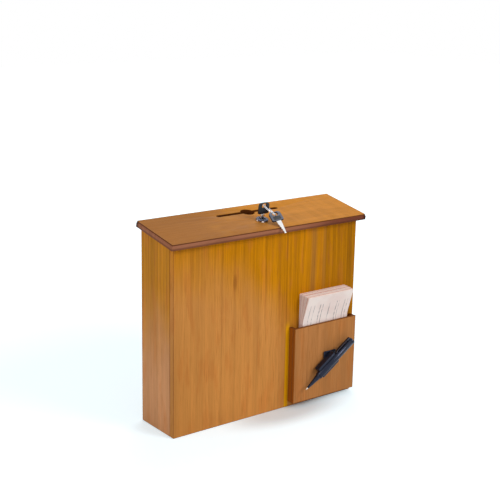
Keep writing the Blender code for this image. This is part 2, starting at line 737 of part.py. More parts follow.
def ring_from_hung_key():
    """Where the ring passes through key 2's eye, from key 2's own frame, on axes of the hinge frame."""
    in_eye = (RING_IN_HUNG_EYE_ACROSS, RING_IN_HUNG_EYE_THROUGH, KEY_EYE_PLACE + RING_IN_HUNG_EYE_UP)
    return hung_key_turn() @ Vector(in_eye)


def hung_key_place():
    """Key 2 rests on the lid's front edge, as far up its own line as the ring's width lets it lie."""
    up = hung_key_turn().col[2]
    half_width = KEY_BLADE_WIDTH * HUNG_KEY_REST_SHARE
    lift = GAP + KEY_BLADE_THICKNESS / 2 * math.cos(HUNG_KEY_ROLL) + half_width * math.sin(HUNG_KEY_ROLL)
    edge = Vector((HUNG_KEY_AT_EDGE, LID_FRONT + LID_STEP_INSET, LID_TOP + lift / math.cos(HUNG_KEY_PITCH)))
    away = edge + ring_from_hung_key() - ring_in_key_1()
    nearest = -away.dot(up)
    slide = nearest - math.sqrt(nearest ** 2 - away.length_squared + (2 * RING_RADIUS) ** 2)
    return edge + slide * up


def ring_matrix():
    """The ring's frame on the hinge frame: X along the wire at key 2, Z from key 1's eye to key 2's."""
    near = ring_in_key_1()
    far = hung_key_place() + ring_from_hung_key()
    towards = (far - near).normalized()
    along = Vector((0, -1, 0))
    along = (along - along.dot(towards) * towards).normalized()
    along = Matrix.Rotation(RING_TWIST, 3, towards) @ along
    turn = Matrix((along, towards.cross(along), towards)).transposed().to_4x4()
    return Matrix.Translation((near + far) / 2) @ turn


def make_ring(hinge):
    """Two turns of round wire. The least gap of the wire to itself is measured on its points."""
    count = RING_TURNS * RING_LOOP_POINTS
    points = []
    for i in range(count + 1):
        angle = 2 * math.pi * i / RING_LOOP_POINTS
        drift = RING_PITCH * (i / RING_LOOP_POINTS - RING_TURNS / 2)
        points.append(Vector((RING_RADIUS * math.cos(angle), drift, RING_RADIUS * math.sin(angle))))
    apart = RING_LOOP_POINTS // 2
    gap = min((a - b).length for i, a in enumerate(points) for b in points[i + apart:]) - RING_WIRE
    print(f"key_ring: least gap of the wire to itself {gap / MILLIMETRE:.3f} mm")
    curve = bpy.data.curves.new("key_ring", 'CURVE')
    curve.dimensions = '3D'
    curve.bevel_depth = RING_WIRE / 2
    curve.bevel_resolution = 2
    curve.use_fill_caps = True
    spline = curve.splines.new('POLY')
    spline.points.add(count)
    for point, place in zip(spline.points, points):
        point.co = (*place, 1)
    matrix = ring_matrix()
    return piece("key_ring", curve, CHROME, hinge, matrix.to_translation(), matrix.to_euler())


def make_keys(hinge, lock):
    make_key("key_1", frame("key_1_place", lock, (0, 0, KEY_STANDING)))
    make_ring(hinge)
    make_key("key_2", frame("key_2_place", hinge, hung_key_place(), hung_key_turn().to_euler()))


# Pocket and cards

def make_pocket():
    side_back = FRONT - GAP
    side_front = POCKET_INNER + GAP
    inner_left, inner_right = POCKET_LEFT + POCKET_BOARD, POCKET_RIGHT - POCKET_BOARD
    boards = {
        "pocket_front": ((POCKET_LEFT, POCKET_FACE, POCKET_BASE), (POCKET_RIGHT, POCKET_INNER, POCKET_TOP)),
        "pocket_left_side": ((POCKET_LEFT, side_front, POCKET_BASE), (inner_left, side_back, POCKET_TOP)),
        "pocket_right_side": ((inner_right, side_front, POCKET_BASE), (POCKET_RIGHT, side_back, POCKET_TOP)),
        "pocket_bottom": ((inner_left + GAP, side_front, POCKET_BASE),
                          (inner_right - GAP, side_back, POCKET_BASE + POCKET_BOARD)),
    }
    for name, (low, high) in boards.items():
        ease(piece(name, box(name, low, high), STAINED_WOOD), POCKET_EASE)


def leaf_outline(back, thickness, lean):
    """A few cards seen from their end: upright in the pocket, then bent forward over the pocket's mouth."""
    foot = POCKET_BASE + POCKET_BOARD + GAP
    mouth = POCKET_TOP + GAP
    middle = Vector((back - thickness / 2, foot))
    line = [(middle, 0.0), (Vector((middle.x, mouth)), 0.0)]
    step = CARD_BEND_LENGTH / CARD_BEND_STEPS
    place, angle = Vector((middle.x, mouth)), 0.0
    for i in range(CARD_BEND_STEPS):
        angle = lean * (i + 0.5) / CARD_BEND_STEPS
        place = place + step * Vector((-math.sin(angle), math.cos(angle)))
        line.append((place, lean * (i + 1) / CARD_BEND_STEPS))
    rest = CARD_HEIGHT - (mouth - foot) - CARD_BEND_LENGTH
    line.append((place + rest * Vector((-math.sin(lean), math.cos(lean))), lean))
    front = [point + thickness / 2 * Vector((-math.cos(turn), -math.sin(turn))) for point, turn in line]
    rear = [point - thickness / 2 * Vector((-math.cos(turn), -math.sin(turn))) for point, turn in line]
    return [tuple(point) for point in front + rear[::-1]]


def make_cards():
    room = FRONT - POCKET_INNER - 2 * GAP
    thickness = (room - (CARD_LEAVES - 1) * CARD_SPACING) / CARD_LEAVES
    centre = POCKET_LEFT + POCKET_BOARD + CARD_LEFT_CLEARANCE + CARD_WIDTH / 2
    for i in range(CARD_LEAVES):
        name = f"suggestion_cards_{i + 1}"
        back = FRONT - GAP - i * (thickness + CARD_SPACING)
        outline = leaf_outline(back, thickness, CARD_LEAN * i / (CARD_LEAVES - 1))
        piece(name, flat(name, [outline], CARD_WIDTH), CARD, None, (centre, 0, 0),
              (math.pi / 2, 0, math.pi / 2))


# Pen holder and pen, on a frame whose X runs up the pen and whose Y is zero on the pocket's face

PAD_BACK = -GAP
PLATE_BACK = PAD_BACK - PAD_THICKNESS - GAP
PLATE_FACE = PLATE_BACK - PLATE_THICKNESS
CRADLE_REAR = PLATE_FACE - GAP
PEN_AXIS = CRADLE_REAR - CRADLE_BACK - GAP - PEN_RADIUS
CRADLE_FACE = PEN_AXIS - CRADLE_WRAP
CLIP_START = PEN_LENGTH - PEN_CLIP_END - PEN_CLIP_LENGTH
PEN_TIP = CLIP_START - PEN_CLIP_TO_CRADLE - CRADLE_HIGH_END


def make_holder(upright, swivel):
    half = PAD_SIZE / 2
    low, high = (-half, PAD_BACK - PAD_THICKNESS, -half), (half, PAD_BACK, half)
    piece("pen_holder_pad", box("pen_holder_pad", low, high), FOAM, upright)
    half = PLATE_SIZE / 2
    low, high = (-half, PLATE_FACE, -half), (half, PLATE_BACK, half)
    plate = piece("pen_holder_base", box("pen_holder_base", low, high), BLACK_PLASTIC, upright)
    ease(plate, PLATE_EASE)
    low = (-CRADLE_LOW_END, CRADLE_FACE, -CRADLE_WIDTH / 2)
    high = (CRADLE_HIGH_END, CRADLE_REAR, CRADLE_WIDTH / 2)
    cradle = piece("pen_cradle", box("pen_cradle", low, high), BLACK_PLASTIC, swivel)
    ease(cradle, CRADLE_EASE, 2)
    way = ((-CRADLE_LOW_END - OVERRUN, PEN_AXIS, 0), (CRADLE_HIGH_END + OVERRUN, PEN_AXIS, 0))
    cut(cradle, tool("pen_groove", rods("pen_groove", PEN_RADIUS + GAP, [way], 24), swivel))

    shaft_front = PEN_AXIS + PEN_RADIUS + GAP
    shaft_back = PLATE_BACK - GAP
    head = RIVET_HEAD_RADIUS
    profile = [(0, -shaft_front), (head, -shaft_front), (head, -shaft_front - RIVET_HEAD),
               (RIVET_RADIUS, -shaft_front - RIVET_HEAD), (RIVET_RADIUS, -shaft_back + RIVET_HEAD),
               (head, -shaft_back + RIVET_HEAD), (head, -shaft_back), (0, -shaft_back)]
    piece("cradle_rivet", turned("cradle_rivet", profile, sides=16), PLATED_STEEL, swivel,
          rotation=(math.pi / 2, 0, 0))
    shaft = ((0, OVERRUN, 0), (0, PEN_AXIS, 0))
    hole = tool("rivet_hole", rods("rivet_hole", RIVET_RADIUS + GAP, [shaft], 16), swivel)
    front_seat = ((0, shaft_front + RIVET_HEAD + GAP, 0), (0, PEN_AXIS, 0))
    front_room = tool("rivet_seat_front", rods("rivet_seat", head + GAP, [front_seat], 16), swivel)
    back_seat = ((0, OVERRUN, 0), (0, shaft_back - RIVET_HEAD - GAP, 0))
    back_room = tool("rivet_seat_back", rods("rivet_seat", head + GAP, [back_seat], 16), swivel)
    cut(plate, hole, back_room)
    cut(cradle, hole, front_room)


def pen_turned(name, profile, finish, pen, sides=20, closed=False):
    """A turned pen piece; the profile gives (radius, distance from the tip), from the cap end to the tip."""
    mesh = turned(name, profile, sides, closed)
    return piece(name, mesh, finish, pen, rotation=(0, math.pi / 2, 0))


def make_pen(pen):
    """The pen lies along X from its tip at the frame's origin."""
    nose_end = PEN_NOSE_SHARES[0][0] * PEN_NOSE_LENGTH
    base = nose_end - GAP
    point = [(0, base + PEN_SPIGOT_LENGTH), (PEN_SPIGOT_RADIUS, base + PEN_SPIGOT_LENGTH),
             (PEN_SPIGOT_RADIUS, base), (PEN_POINT_BASE_RADIUS, base), (PEN_POINT_RADIUS, 0), (0, 0)]
    pen_turned("pen_point", point, BRASS, pen, 12)

    small = PEN_SPIGOT_RADIUS + GAP
    large = PEN_REFILL_RADIUS + GAP
    step = base + PEN_SPIGOT_LENGTH
    outer = [(PEN_RADIUS * radius, PEN_NOSE_LENGTH * place) for place, radius in reversed(PEN_NOSE_SHARES)]
    bore = [(small, nose_end), (small, step), (large, step), (large, PEN_NOSE_LENGTH)]
    nose = [(PEN_RADIUS, PEN_NOSE_LENGTH)] + outer + bore
    pen_turned("pen_nose", nose, BLACK_PLASTIC, pen, closed=True)
    refill_start = step + GAP
    refill_end = PEN_LENGTH - PEN_CAP_LENGTH - PEN_CAP_SPIGOT - PEN_REFILL_TO_CAP
    refill = [(0, refill_end), (PEN_REFILL_RADIUS, refill_end), (PEN_REFILL_RADIUS, refill_start),
              (0, refill_start)]
    pen_turned("pen_refill", refill, INK, pen, 10)
    start = PEN_NOSE_LENGTH + GAP
    end = PEN_LENGTH - PEN_CAP_LENGTH - GAP
    barrel = [(PEN_RADIUS, end), (PEN_RADIUS, start), (PEN_BORE, start), (PEN_BORE, end)]
    pen_turned("pen_barrel", barrel, BLACK_PLASTIC, pen, closed=True)
    plug = PEN_BORE - GAP
    seat = PEN_LENGTH - PEN_CAP_LENGTH
    crown = PEN_CAP_LENGTH / 2
    cap = [(0, PEN_LENGTH), (PEN_RADIUS - crown, PEN_LENGTH), (PEN_RADIUS, seat + crown), (PEN_RADIUS, seat),
           (plug, seat), (plug, seat - PEN_CAP_SPIGOT), (0, seat - PEN_CAP_SPIGOT)]
    pen_turned("pen_end_cap", cap, BLACK_PLASTIC, pen)

    clip_end = PEN_LENGTH - PEN_CLIP_END
    low = PEN_RADIUS + GAP
    under = low + PEN_CLIP_LIFT
    over = under + PEN_CLIP_THICKNESS
    outline = [(clip_end, low), (clip_end, over), (CLIP_START + PEN_CLIP_FOOT, over),
               (CLIP_START, low + PEN_CLIP_THICKNESS), (CLIP_START, low), (CLIP_START + PEN_CLIP_LIFT, low),
               (CLIP_START + PEN_CLIP_FOOT, under), (clip_end - PEN_CLIP_FOOT, under),
               (clip_end - PEN_CLIP_FOOT, low)]
    piece("pen_clip", flat("pen_clip", [outline], PEN_CLIP_WIDTH), DARK_METAL, pen,
          rotation=(math.pi / 2, 0, 0))


def main():
    global PARTS, CUTTERS
    for obj in list(bpy.data.objects):
        bpy.data.objects.remove(obj)
    PARTS = collection("suggestion_box")
    CUTTERS = collection("cutters_and_frames")
    hinge = frame("lid_hinge_axis", None, (0, HINGE_Y, HINGE_Z), (SLOPE, 0, 0))
    lock = frame("lock_axis", hinge, (0, LOCK_PLACE, LID_TOP))
    holder = frame("holder_place", None, (POCKET_RIGHT - HOLDER_FROM_POCKET_EDGE, POCKET_FACE,
                                          POCKET_BASE + HOLDER_OVER_POCKET_BASE))
    swivel = frame("cradle_swivel", holder, rotation=(0, -PEN_ANGLE, 0))
    pen = frame("pen_axis", swivel, (-PEN_TIP, PEN_AXIS, 0))
    front, back = make_body()
    lid = make_lid(hinge)
    make_hinges(hinge, back, lid)
    make_lock(lock)
    make_strike(front)
    make_keys(hinge, lock)
    make_pocket()
    make_cards()
    make_holder(holder, swivel)
    make_pen(pen)


main()
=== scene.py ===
"""Looks of a wooden suggestion box: lacquered boards, cam lock and keys, cards, and a pen in its holder.

Metres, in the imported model's frame: +Z up, the origin under the middle of the body's base.
"""

import json
import math

import bmesh
import bpy
from mathutils import Matrix, Vector


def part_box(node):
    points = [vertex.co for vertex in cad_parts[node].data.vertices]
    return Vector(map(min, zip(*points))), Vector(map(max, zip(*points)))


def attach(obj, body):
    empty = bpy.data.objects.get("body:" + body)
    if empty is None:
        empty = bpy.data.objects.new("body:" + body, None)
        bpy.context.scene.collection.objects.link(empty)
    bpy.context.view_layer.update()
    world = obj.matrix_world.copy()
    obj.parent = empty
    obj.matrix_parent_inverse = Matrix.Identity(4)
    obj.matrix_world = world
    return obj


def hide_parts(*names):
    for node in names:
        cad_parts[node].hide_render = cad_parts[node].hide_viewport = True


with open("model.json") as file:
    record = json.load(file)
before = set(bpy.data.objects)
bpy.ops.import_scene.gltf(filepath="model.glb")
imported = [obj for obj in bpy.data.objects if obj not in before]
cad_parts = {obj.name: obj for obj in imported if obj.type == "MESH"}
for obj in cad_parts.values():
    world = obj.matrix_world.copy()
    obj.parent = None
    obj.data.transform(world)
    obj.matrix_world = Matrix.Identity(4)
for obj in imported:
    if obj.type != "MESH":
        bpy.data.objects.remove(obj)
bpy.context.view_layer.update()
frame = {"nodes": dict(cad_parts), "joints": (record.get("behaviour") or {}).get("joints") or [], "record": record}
JOINTS = {joint["name"]: joint for joint in frame["joints"]}

# The photograph's camera
FOCAL_PIXELS = 1085.417
FRAME_PIXELS = 500
CAMERA_PLACE = Vector((-1.07818, -1.39865, 0.73729))
CAMERA_AZIMUTH = math.radians(-37.4713)
CAMERA_ELEVATION = math.radians(14.6073)
CAMERA_ROLL = math.radians(1.06772)

# Room: the floor glows only where it is seen, least inside a painted shadow in front of the box
FLOOR_REACH = 12.0
FLOOR_WHITE = (0.78, 0.83, 0.86)
FLOOR_GLOW_IN_PAINTED_SHADOW = 0.05
FLOOR_GLOW_NEAR = 0.45
FLOOR_GLOW_FAR = 0.80
FLOOR_GLOW_COLOUR = (0.76, 0.93, 1.0, 1)
PAINTED_SHADOW_CENTRE = (0.030, -0.060)
PAINTED_SHADOW_REACH = (0.130, 0.056)
WORLD_LEVEL = 0.52
LAMP_WIDTH = 0.9
# Each lamp's name, place, aim and watts
LAMPS = (("key_lamp", (0.7, -1.7, 1.5), (0, 0, 0.15), 18.5),
         ("side_lamp", (-1.9, -0.5, 1.0), (0, 0, 0.15), 9),
         ("top_lamp", (0.5, 0.6, 1.9), (0, 0, 0.3), 7))

# Fits and edges
GAP = 0.0003
LIP = 0.0003
HAIR = 0.00001
MERGE = 0.000004
FLAT_ANGLE = math.radians(0.5)
METAL_EASE = 0.00012
IN_PLACE = Matrix.Identity(4)

# Body
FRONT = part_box("front_panel")[0].y
FRONT_HEIGHT = 0.3178

# The lid's frame: y runs up the slope from the hinge, z stands square to the lid
SLOPE = -math.asin(JOINTS["lock_turn"]["axis"][1])
HINGE = Matrix.Translation(JOINTS["lid_hinge"]["pos_m"]) @ Matrix.Rotation(SLOPE, 4, 'X')
LOCK = Matrix.Translation(JOINTS["lock_turn"]["pos_m"]) @ Matrix.Rotation(SLOPE, 4, 'X')
LID_TOP = 0.01015
LID_FRONT = -0.109645
LID_BACK = -0.004205
LID_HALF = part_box("lid")[1].x
LID_STEP = 0.0021
LID_STEP_INSET = 0.0013
LID_EASE = 0.00035
SLOT_PLACE = -0.031745
SLOT_LENGTH = 0.1275
SLOT_HOLE_RADIUS = 0.01225

# Lock and screws
BEZEL_RADIUS = 0.0105
BEZEL_HEIGHT = 0.0035
BEZEL_SLANT = 0.0012
BEZEL_GROOVE_SHARE = 0.72
BEZEL_FACE = 0.0015
# Painted highlights on the bezel, across and up the slope from the lock's axis
BEZEL_GLINTS = ((-0.0105, -0.0004), (-0.0053, -0.0090))
BEZEL_GLINT_HEIGHT = 0.0010
BARREL_RADIUS = 0.008
BARREL_LENGTH = 0.024
THREAD_TOP = -0.0118
THREAD_DEPTH = 0.0004
THREAD_PITCH = 0.001
PLUG_RADIUS = 0.0055
PLUG_EASE = 0.00015
RECESS_LENGTH = 0.0024
RECESS_WIDTH = 0.0006
RECESS_DEPTH = 0.0007

# Keys and their ring
KEY_STANDING = 0.0125
KEY_BOW_WIDTH = 0.0206
KEY_BOW_HEIGHT = 0.0192
KEY_BOW_THICKNESS = 0.003
KEY_BOW_CORNER = 0.005
KEY_FOOT_CORNER = 0.002
KEY_BOW_EASE = 0.00015
KEY_EYE_WIDTH = 0.010
KEY_EYE_HEIGHT = 0.008
KEY_EYE_PLACE = 0.0142
KEY_TANG_WIDTH = 0.0066
KEY_TANG_THICKNESS = 0.0018
KEY_TANG_LENGTH = 0.0083
KEY_PANEL_WIDTH = 0.0132
KEY_PANEL_LOW = 0.0020
KEY_PANEL_HIGH = 0.0090
KEY_PANEL_DEPTH = 0.00025
KEY_PANEL_CORNER = 0.001
BLADE_LENGTH = 0.027
BLADE_TAPER = 0.38
BLADE_GROOVE_LOW = (-0.0024, -0.028)
BLADE_GROOVE_HIGH = (-0.0010, -0.003)
BLADE_GROOVE_FLOOR = 0.0006
BLADE_GROOVE_CLEAR = 0.002
HUNG_KEY_PLACE = Vector(JOINTS["key_2_swing"]["pos_m"])
HUNG_KEY_PITCH = math.radians(25.6)
HUNG_KEY_YAW = math.radians(-5.2)
HUNG_KEY_ROLL = math.radians(11.5)
RING_RADIUS = 0.01315
RING_WIRE = 0.001
RING_PITCH = 0.00145
RING_TURNS = 2
RING_LOOP_POINTS = 72
RING_MERGE = 0.00002
# Where the ring's wire passes, in the lock's frame and in key 2's
RING_IN_KEY_1 = Vector((-0.00106, 0, 0.0278))
RING_IN_HUNG_EYE = Vector((-0.0007, -0.0002, 0.0127))

# Pocket and cards
POCKET_LOW, POCKET_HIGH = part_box("pocket_front")
POCKET_BOARD = 0.005
CARD_LOW, CARD_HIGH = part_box("suggestion_cards_1")
CARD_BUNDLES = 10
CARD_LEAVES = 50
CARD_THICKNESS = 0.00044
CARD_TINTED_GROUPS = ((9, 13), (22, 27), (38, 41))
CARD_HEIGHT = 0.1855
CARD_STEPS = 30
CARD_LEAN = math.radians(17.5)
CARD_BEND_LENGTH = 0.012
# The fan: (share of the way to the front card, share of the full lean)
CARD_FAN_SHARES = ((0, 0), (0.2, 0.02), (0.26, 0.2), (0.42, 0.3), (0.48, 0.48), (0.64, 0.6),
                   (0.72, 0.82), (1, 1))
CARD_STRAY = 0.0009
CARD_STRAY_TURN = 2.4

# Pen and holder, on a frame whose X runs up the pen
PEN_AXIS = JOINTS["pen_slide"]["axis"]
PEN_TURN = Matrix.Rotation(-math.atan2(PEN_AXIS[2], PEN_AXIS[0]), 4, 'Y')
HOLDER = Matrix.Translation(JOINTS["holder_swivel"]["pos_m"]) @ PEN_TURN
ALONG_X = Matrix.Rotation(math.pi / 2, 4, 'Y')
PEN_DEPTH = -0.0138
PEN_TIP = 0.0751
PEN = HOLDER @ Matrix.Translation((-PEN_TIP, PEN_DEPTH, 0)) @ ALONG_X
PEN_LENGTH = 0.125
PEN_RADIUS = 0.0063
PEN_BORE = 0.0042
PEN_NOSE_LENGTH = 0.034
# The nose's outline: (share of its length, share of the pen's radius)
PEN_NOSE_SHARES = ((0.15, 0.34), (0.41, 0.45), (0.65, 0.57), (0.85, 0.7), (0.96, 0.8), (1, 1))
PEN_NOSE_END = PEN_NOSE_SHARES[0][0] * PEN_NOSE_LENGTH
PEN_CAP_LENGTH = 0.004
PEN_CAP_SPIGOT = 0.005
PEN_BALL_RADIUS = 0.0004
PEN_POINT_STEPS = ((0.0006, 0.0014), (0.0009, 0.0020))
PEN_POINT_RADIUS = 0.0015
PEN_SPIGOT_RADIUS = 0.001
PEN_SPIGOT_TOP = PEN_NOSE_END - GAP + 0.006
PEN_REFILL_BORE = 0.0018
PEN_CLIP_EASE = 0.0003
CRADLE_LOW_END = 0.0351
CRADLE_HIGH_END = 0.0075
CRADLE_WIDTH = 0.022
CRADLE_EASE = 0.0015
CRADLE_BACK = 0.0032
CRADLE_WRAP = 0.0015
CRADLE_SEAT = PEN_DEPTH + PEN_RADIUS + GAP
RIVET_RADIUS = 0.0018
RIVET_HEAD_RADIUS = 0.0032
RIVET_HEAD = 0.0008


# Shaping

def select(obj):
    """Selects one object alone and makes it active."""
    bpy.ops.object.select_all(action='DESELECT')
    obj.select_set(True)
    bpy.context.view_layer.objects.active = obj


def start(add, name, **settings):
    """Adds a primitive with nothing else selected, and returns it."""
    bpy.ops.object.select_all(action='DESELECT')
    add(**settings)
    made = bpy.context.active_object
    made.name = name
    made.data.name = name
    bpy.ops.object.transform_apply(location=True, rotation=True, scale=True)
    return made


def block(name, low, high):
    """A block between two corners."""
    low, high = Vector(low), Vector(high)
    return start(bpy.ops.mesh.primitive_cube_add, name, size=1, location=(low + high) / 2, scale=high - low)


def rod(name, radius, low, high, sides=64):
    """An upright round rod between two heights."""
    return start(bpy.ops.mesh.primitive_cylinder_add, name, vertices=sides, radius=radius, depth=high - low,
                 location=(0, 0, (low + high) / 2))


def edit(obj):
    select(obj)
    bpy.ops.object.mode_set(mode='EDIT')


def done():
    bpy.ops.object.mode_set(mode='OBJECT')


def weld(threshold=MERGE):
    """Merges, in edit mode, the points that lie on each other."""
    bpy.ops.mesh.select_all(action='SELECT')
    bpy.ops.mesh.remove_doubles(threshold=threshold)


def pick_edges(obj, test):
    """Selects, in edit mode, the edges whose two ends pass a test."""
    bpy.ops.mesh.select_mode(type='EDGE')
    bpy.ops.mesh.select_all(action='DESELECT')
    shape = bmesh.from_edit_mesh(obj.data)
    for edge in shape.edges:
        edge.select_set(test(edge.verts[0].co, edge.verts[1].co))
    bmesh.update_edit_mesh(obj.data)


def round_edges(obj, test, width, segments):
    edit(obj)
    pick_edges(obj, test)
    bpy.ops.mesh.bevel(offset=width, segments=segments, profile=0.5, affect='EDGES')
    done()


def apply_step(obj, kind, **settings):
    select(obj)
    step = obj.modifiers.new(kind.lower(), kind)
    for name, value in settings.items():
        setattr(step, name, value)
    bpy.ops.object.modifier_apply(modifier=step.name)


def ease(obj, width, segments=3, angle=35):
    """Breaks every edge that is sharper than an angle in degrees."""
    apply_step(obj, 'BEVEL', width=width, segments=segments, limit_method='ANGLE',
               angle_limit=math.radians(angle))


def cut(obj, cutter):
    apply_step(obj, 'BOOLEAN', operation='DIFFERENCE', object=cutter)
    bpy.data.objects.remove(cutter)


def turned(name, profile, steps=64):
    """Extrudes a point through (radius, height) places, and spins it round Z."""
    (radius, height), *rest = profile
    made = start(bpy.ops.mesh.primitive_plane_add, name, size=GAP, location=(radius, 0, height))
    edit(made)
    bpy.ops.mesh.select_mode(type='VERT')
    bpy.ops.mesh.select_all(action='SELECT')
    bpy.ops.mesh.merge(type='CENTER')
    for next_radius, next_height in rest:
        step = (next_radius - radius, 0, next_height - height)
        bpy.ops.mesh.extrude_vertices_move(TRANSFORM_OT_translate={"value": step})
        radius, height = next_radius, next_height
    bpy.ops.mesh.select_all(action='SELECT')
    bpy.ops.mesh.spin(steps=steps, angle=math.tau, center=(0, 0, 0), axis=(0, 0, 1))
    weld()
    bpy.ops.mesh.normals_make_consistent(inside=False)
    done()
    return made


def added(name, mesh):
    """A new object in the scene with the given mesh or curve."""
    made = bpy.data.objects.new(name, mesh)
    bpy.context.scene.collection.objects.link(made)
    return made


def refined(name, node, width, segments=2, angle=35):
    """A copy of a CAD node with its triangles merged into faces and its edges rounded."""
    made = added(name, frame["nodes"][node].data.copy())
    made.data.materials.clear()
    edit(made)
    weld()
    bpy.ops.mesh.dissolve_limited(angle_limit=FLAT_ANGLE)
    done()
    if width:
        ease(made, width, segments, angle)
    return made


def paint(obj, finish):
    """Gives an object its finish in place of any other."""
    obj.data.materials.clear()
    obj.data.materials.append(finish)


def settle(obj, place, body, slot, finish, *nodes, smooth=40):
    """Moves a piece to its place, gives it its finish and body, and hides the CAD nodes it stands for; the slot is
    not used.
    """
    obj.data.transform(place)
    select(obj)
    bpy.ops.object.shade_smooth_by_angle(angle=math.radians(smooth))
    paint(obj, finish)
    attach(obj, body)
    if nodes:
        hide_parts(*nodes)


def dress(node, finish):
    """Gives a CAD node that keeps its shape its finish."""
    paint(frame["nodes"][node], finish)


def along(points, share):
    """The value at a share of the way, on straight lines through (share, value) points."""
    for (low, first), (high, last) in zip(points, points[1:]):
        if share <= high:
            return first + (last - first) * (share - low) / (high - low)
    return points[-1][1]


def curved(points, count):
    """Points on a smooth curve through the given ones."""
    points = [Vector(point) for point in points]
    line = [2 * points[0] - points[1]] + points + [2 * points[-1] - points[-2]]
    made = []
    for before, first, last, after in zip(line, line[1:], line[2:], line[3:]):
        for i in range(count):
            t = i / count
            bend = (2 * before - 5 * first + 4 * last - after) * t ** 2
            turn = (3 * first - before - 3 * last + after) * t ** 3
            made.append(tuple(0.5 * (2 * first + (last - before) * t + bend + turn)))
    return made + [tuple(points[-1])]


def fillet(centre, radius, first, last, steps=6):
    """Points of an arc round a centre, for a turned profile; angles in degrees from +X."""
    angles = [math.radians(first + (last - first) * i / steps) for i in range(steps + 1)]
    return [(centre[0] + radius * math.cos(a), centre[1] + radius * math.sin(a)) for a in angles]


# Shader maths

class Number:
    """A shader socket that takes Python's operators."""

    def __init__(self, finish, socket):
        self.finish = finish
        self.socket = socket

    def maths(self, operation, first, second=0.0):
        return self.finish.node("Math", {"operation": operation}, {0: first, 1: second})

    def __add__(self, other):
        return self.maths('ADD', self, other)

    def __sub__(self, other):
        return self.maths('SUBTRACT', self, other)

    def __rsub__(self, other):
        return self.maths('SUBTRACT', other, self)

    def __mul__(self, other):
        return self.maths('MULTIPLY', self, other)

    def __truediv__(self, other):
        return self.maths('DIVIDE', self, other)

    def least(self, other):
        return self.maths('MINIMUM', self, other)

    def most(self, other):
        return self.maths('MAXIMUM', self, other)

    def size(self):
        return self.maths('ABSOLUTE', self)

    __radd__ = __add__
    __rmul__ = __mul__


class Finish:
    """A material being made: its nodes and the shader that they feed."""

    def __init__(self, name, roughness, metallic=0.0, specular=0.5):
        self.material = bpy.data.materials.new(name)
        self.material.use_nodes = True
        self.tree = self.material.node_tree
        self.shader = self.tree.nodes["Principled BSDF"]
        self.set("Roughness", roughness)
        self.set("Metallic", metallic)
        self.set("Specular IOR Level", specular)
        self.place = self.node("TexCoord", output="Object")
        self.facing = self.node("TexCoord", output="Normal")
        self.x, self.y, self.z = (self.node("SeparateXYZ", {}, {0: self.place}, i) for i in range(3))

    def set(self, name, value):
        self.feed(self.shader.inputs[name], value)

    def feed(self, socket, value):
        if isinstance(value, Number):
            self.tree.links.new(value.socket, socket)
        else:
            socket.default_value = value

    def node(self, kind, settings=None, values=None, output=0):
        """One node of a type, with its settings, then its sockets' values or links."""
        made = self.tree.nodes.new("ShaderNode" + kind)
        for name, setting in (settings or {}).items():
            if name == "stops":
                self.set_stops(made.color_ramp, setting)
            else:
                setattr(made, name, setting)
        for name, value in (values or {}).items():
            self.feed(made.inputs[name], value)
        return Number(self, made.outputs[output])

    def set_stops(self, ramp, stops):
        """Puts (place, grey) stops on a ramp."""
        ramp.elements.remove(ramp.elements[-1])
        for i, (place, grey) in enumerate(stops):
            stop = ramp.elements.new(place) if i else ramp.elements[0]
            stop.position = place
            stop.color = (grey, grey, grey, 1)

    def point(self, x, y, z):
        return self.node("CombineXYZ", {}, {0: x, 1: y, 2: z})

    def length(self, x, y, z=0.0):
        return self.node("VectorMath", {"operation": 'LENGTH'}, {0: self.point(x, y, z)}, 1)

    def dot(self, first, second):
        return self.node("VectorMath", {"operation": 'DOT_PRODUCT'}, {0: first, 1: second}, 1)

    def noise(self, x, y, z, detail=2.0):
        """Noise whose cells are one unit of the given coordinates."""
        return self.node("TexNoise", {}, {"Vector": self.point(x, y, z), "Scale": 1.0, "Detail": detail})

    def grit(self, count, detail=2.0, upright=None):
        """Noise with a count of cells to a metre, and another count upright if given."""
        return self.noise(self.x * count, self.y * count, self.z * (upright or count), detail)

    def figure(self, x, y, z, pattern):
        """A pattern: cells to a metre along x, y and z, detail, and the two levels that it rises between."""
        count_x, count_y, count_z, detail, low, high = pattern
        return self.smooth(self.noise(x * count_x, y * count_y, z * count_z, detail), low, high)

    def smooth(self, value, low, high):
        """Rises from 0 at the low value to 1 at the high one."""
        return self.node("MapRange", {"interpolation_type": 'SMOOTHSTEP'}, {0: value, 1: low, 2: high})

    def fall(self, value, low, high):
        """Falls from 1 at the low value to 0 at the high one."""
        return 1 - self.smooth(value, low, high)

    def mix(self, share, first, second):
        return self.node("Mix", {"data_type": 'RGBA'}, {0: share, 6: first, 7: second}, 2)

    def scale(self, colour, amount):
        return self.node("VectorMath", {"operation": 'SCALE'}, {0: colour, 3: amount})

    def complete(self, tone, roughness, relief, depth, strength):
        """Feeds the shader its colour, roughness and fine relief, and returns the material."""
        self.set("Base Color", tone)
        self.set("Roughness", roughness)
        self.set("Normal", self.node("Bump", {}, {"Height": relief, "Distance": depth, "Strength": strength}))
        return self.material


def colour(red, green, blue):
    """A colour given as it shows on a screen, from 0 to 255."""
    shown = (value / 255 for value in (red, green, blue))
    return (*(v / 12.92 if v < 0.04045 else ((v + 0.055) / 1.055) ** 2.4 for v in shown), 1)


# Wood

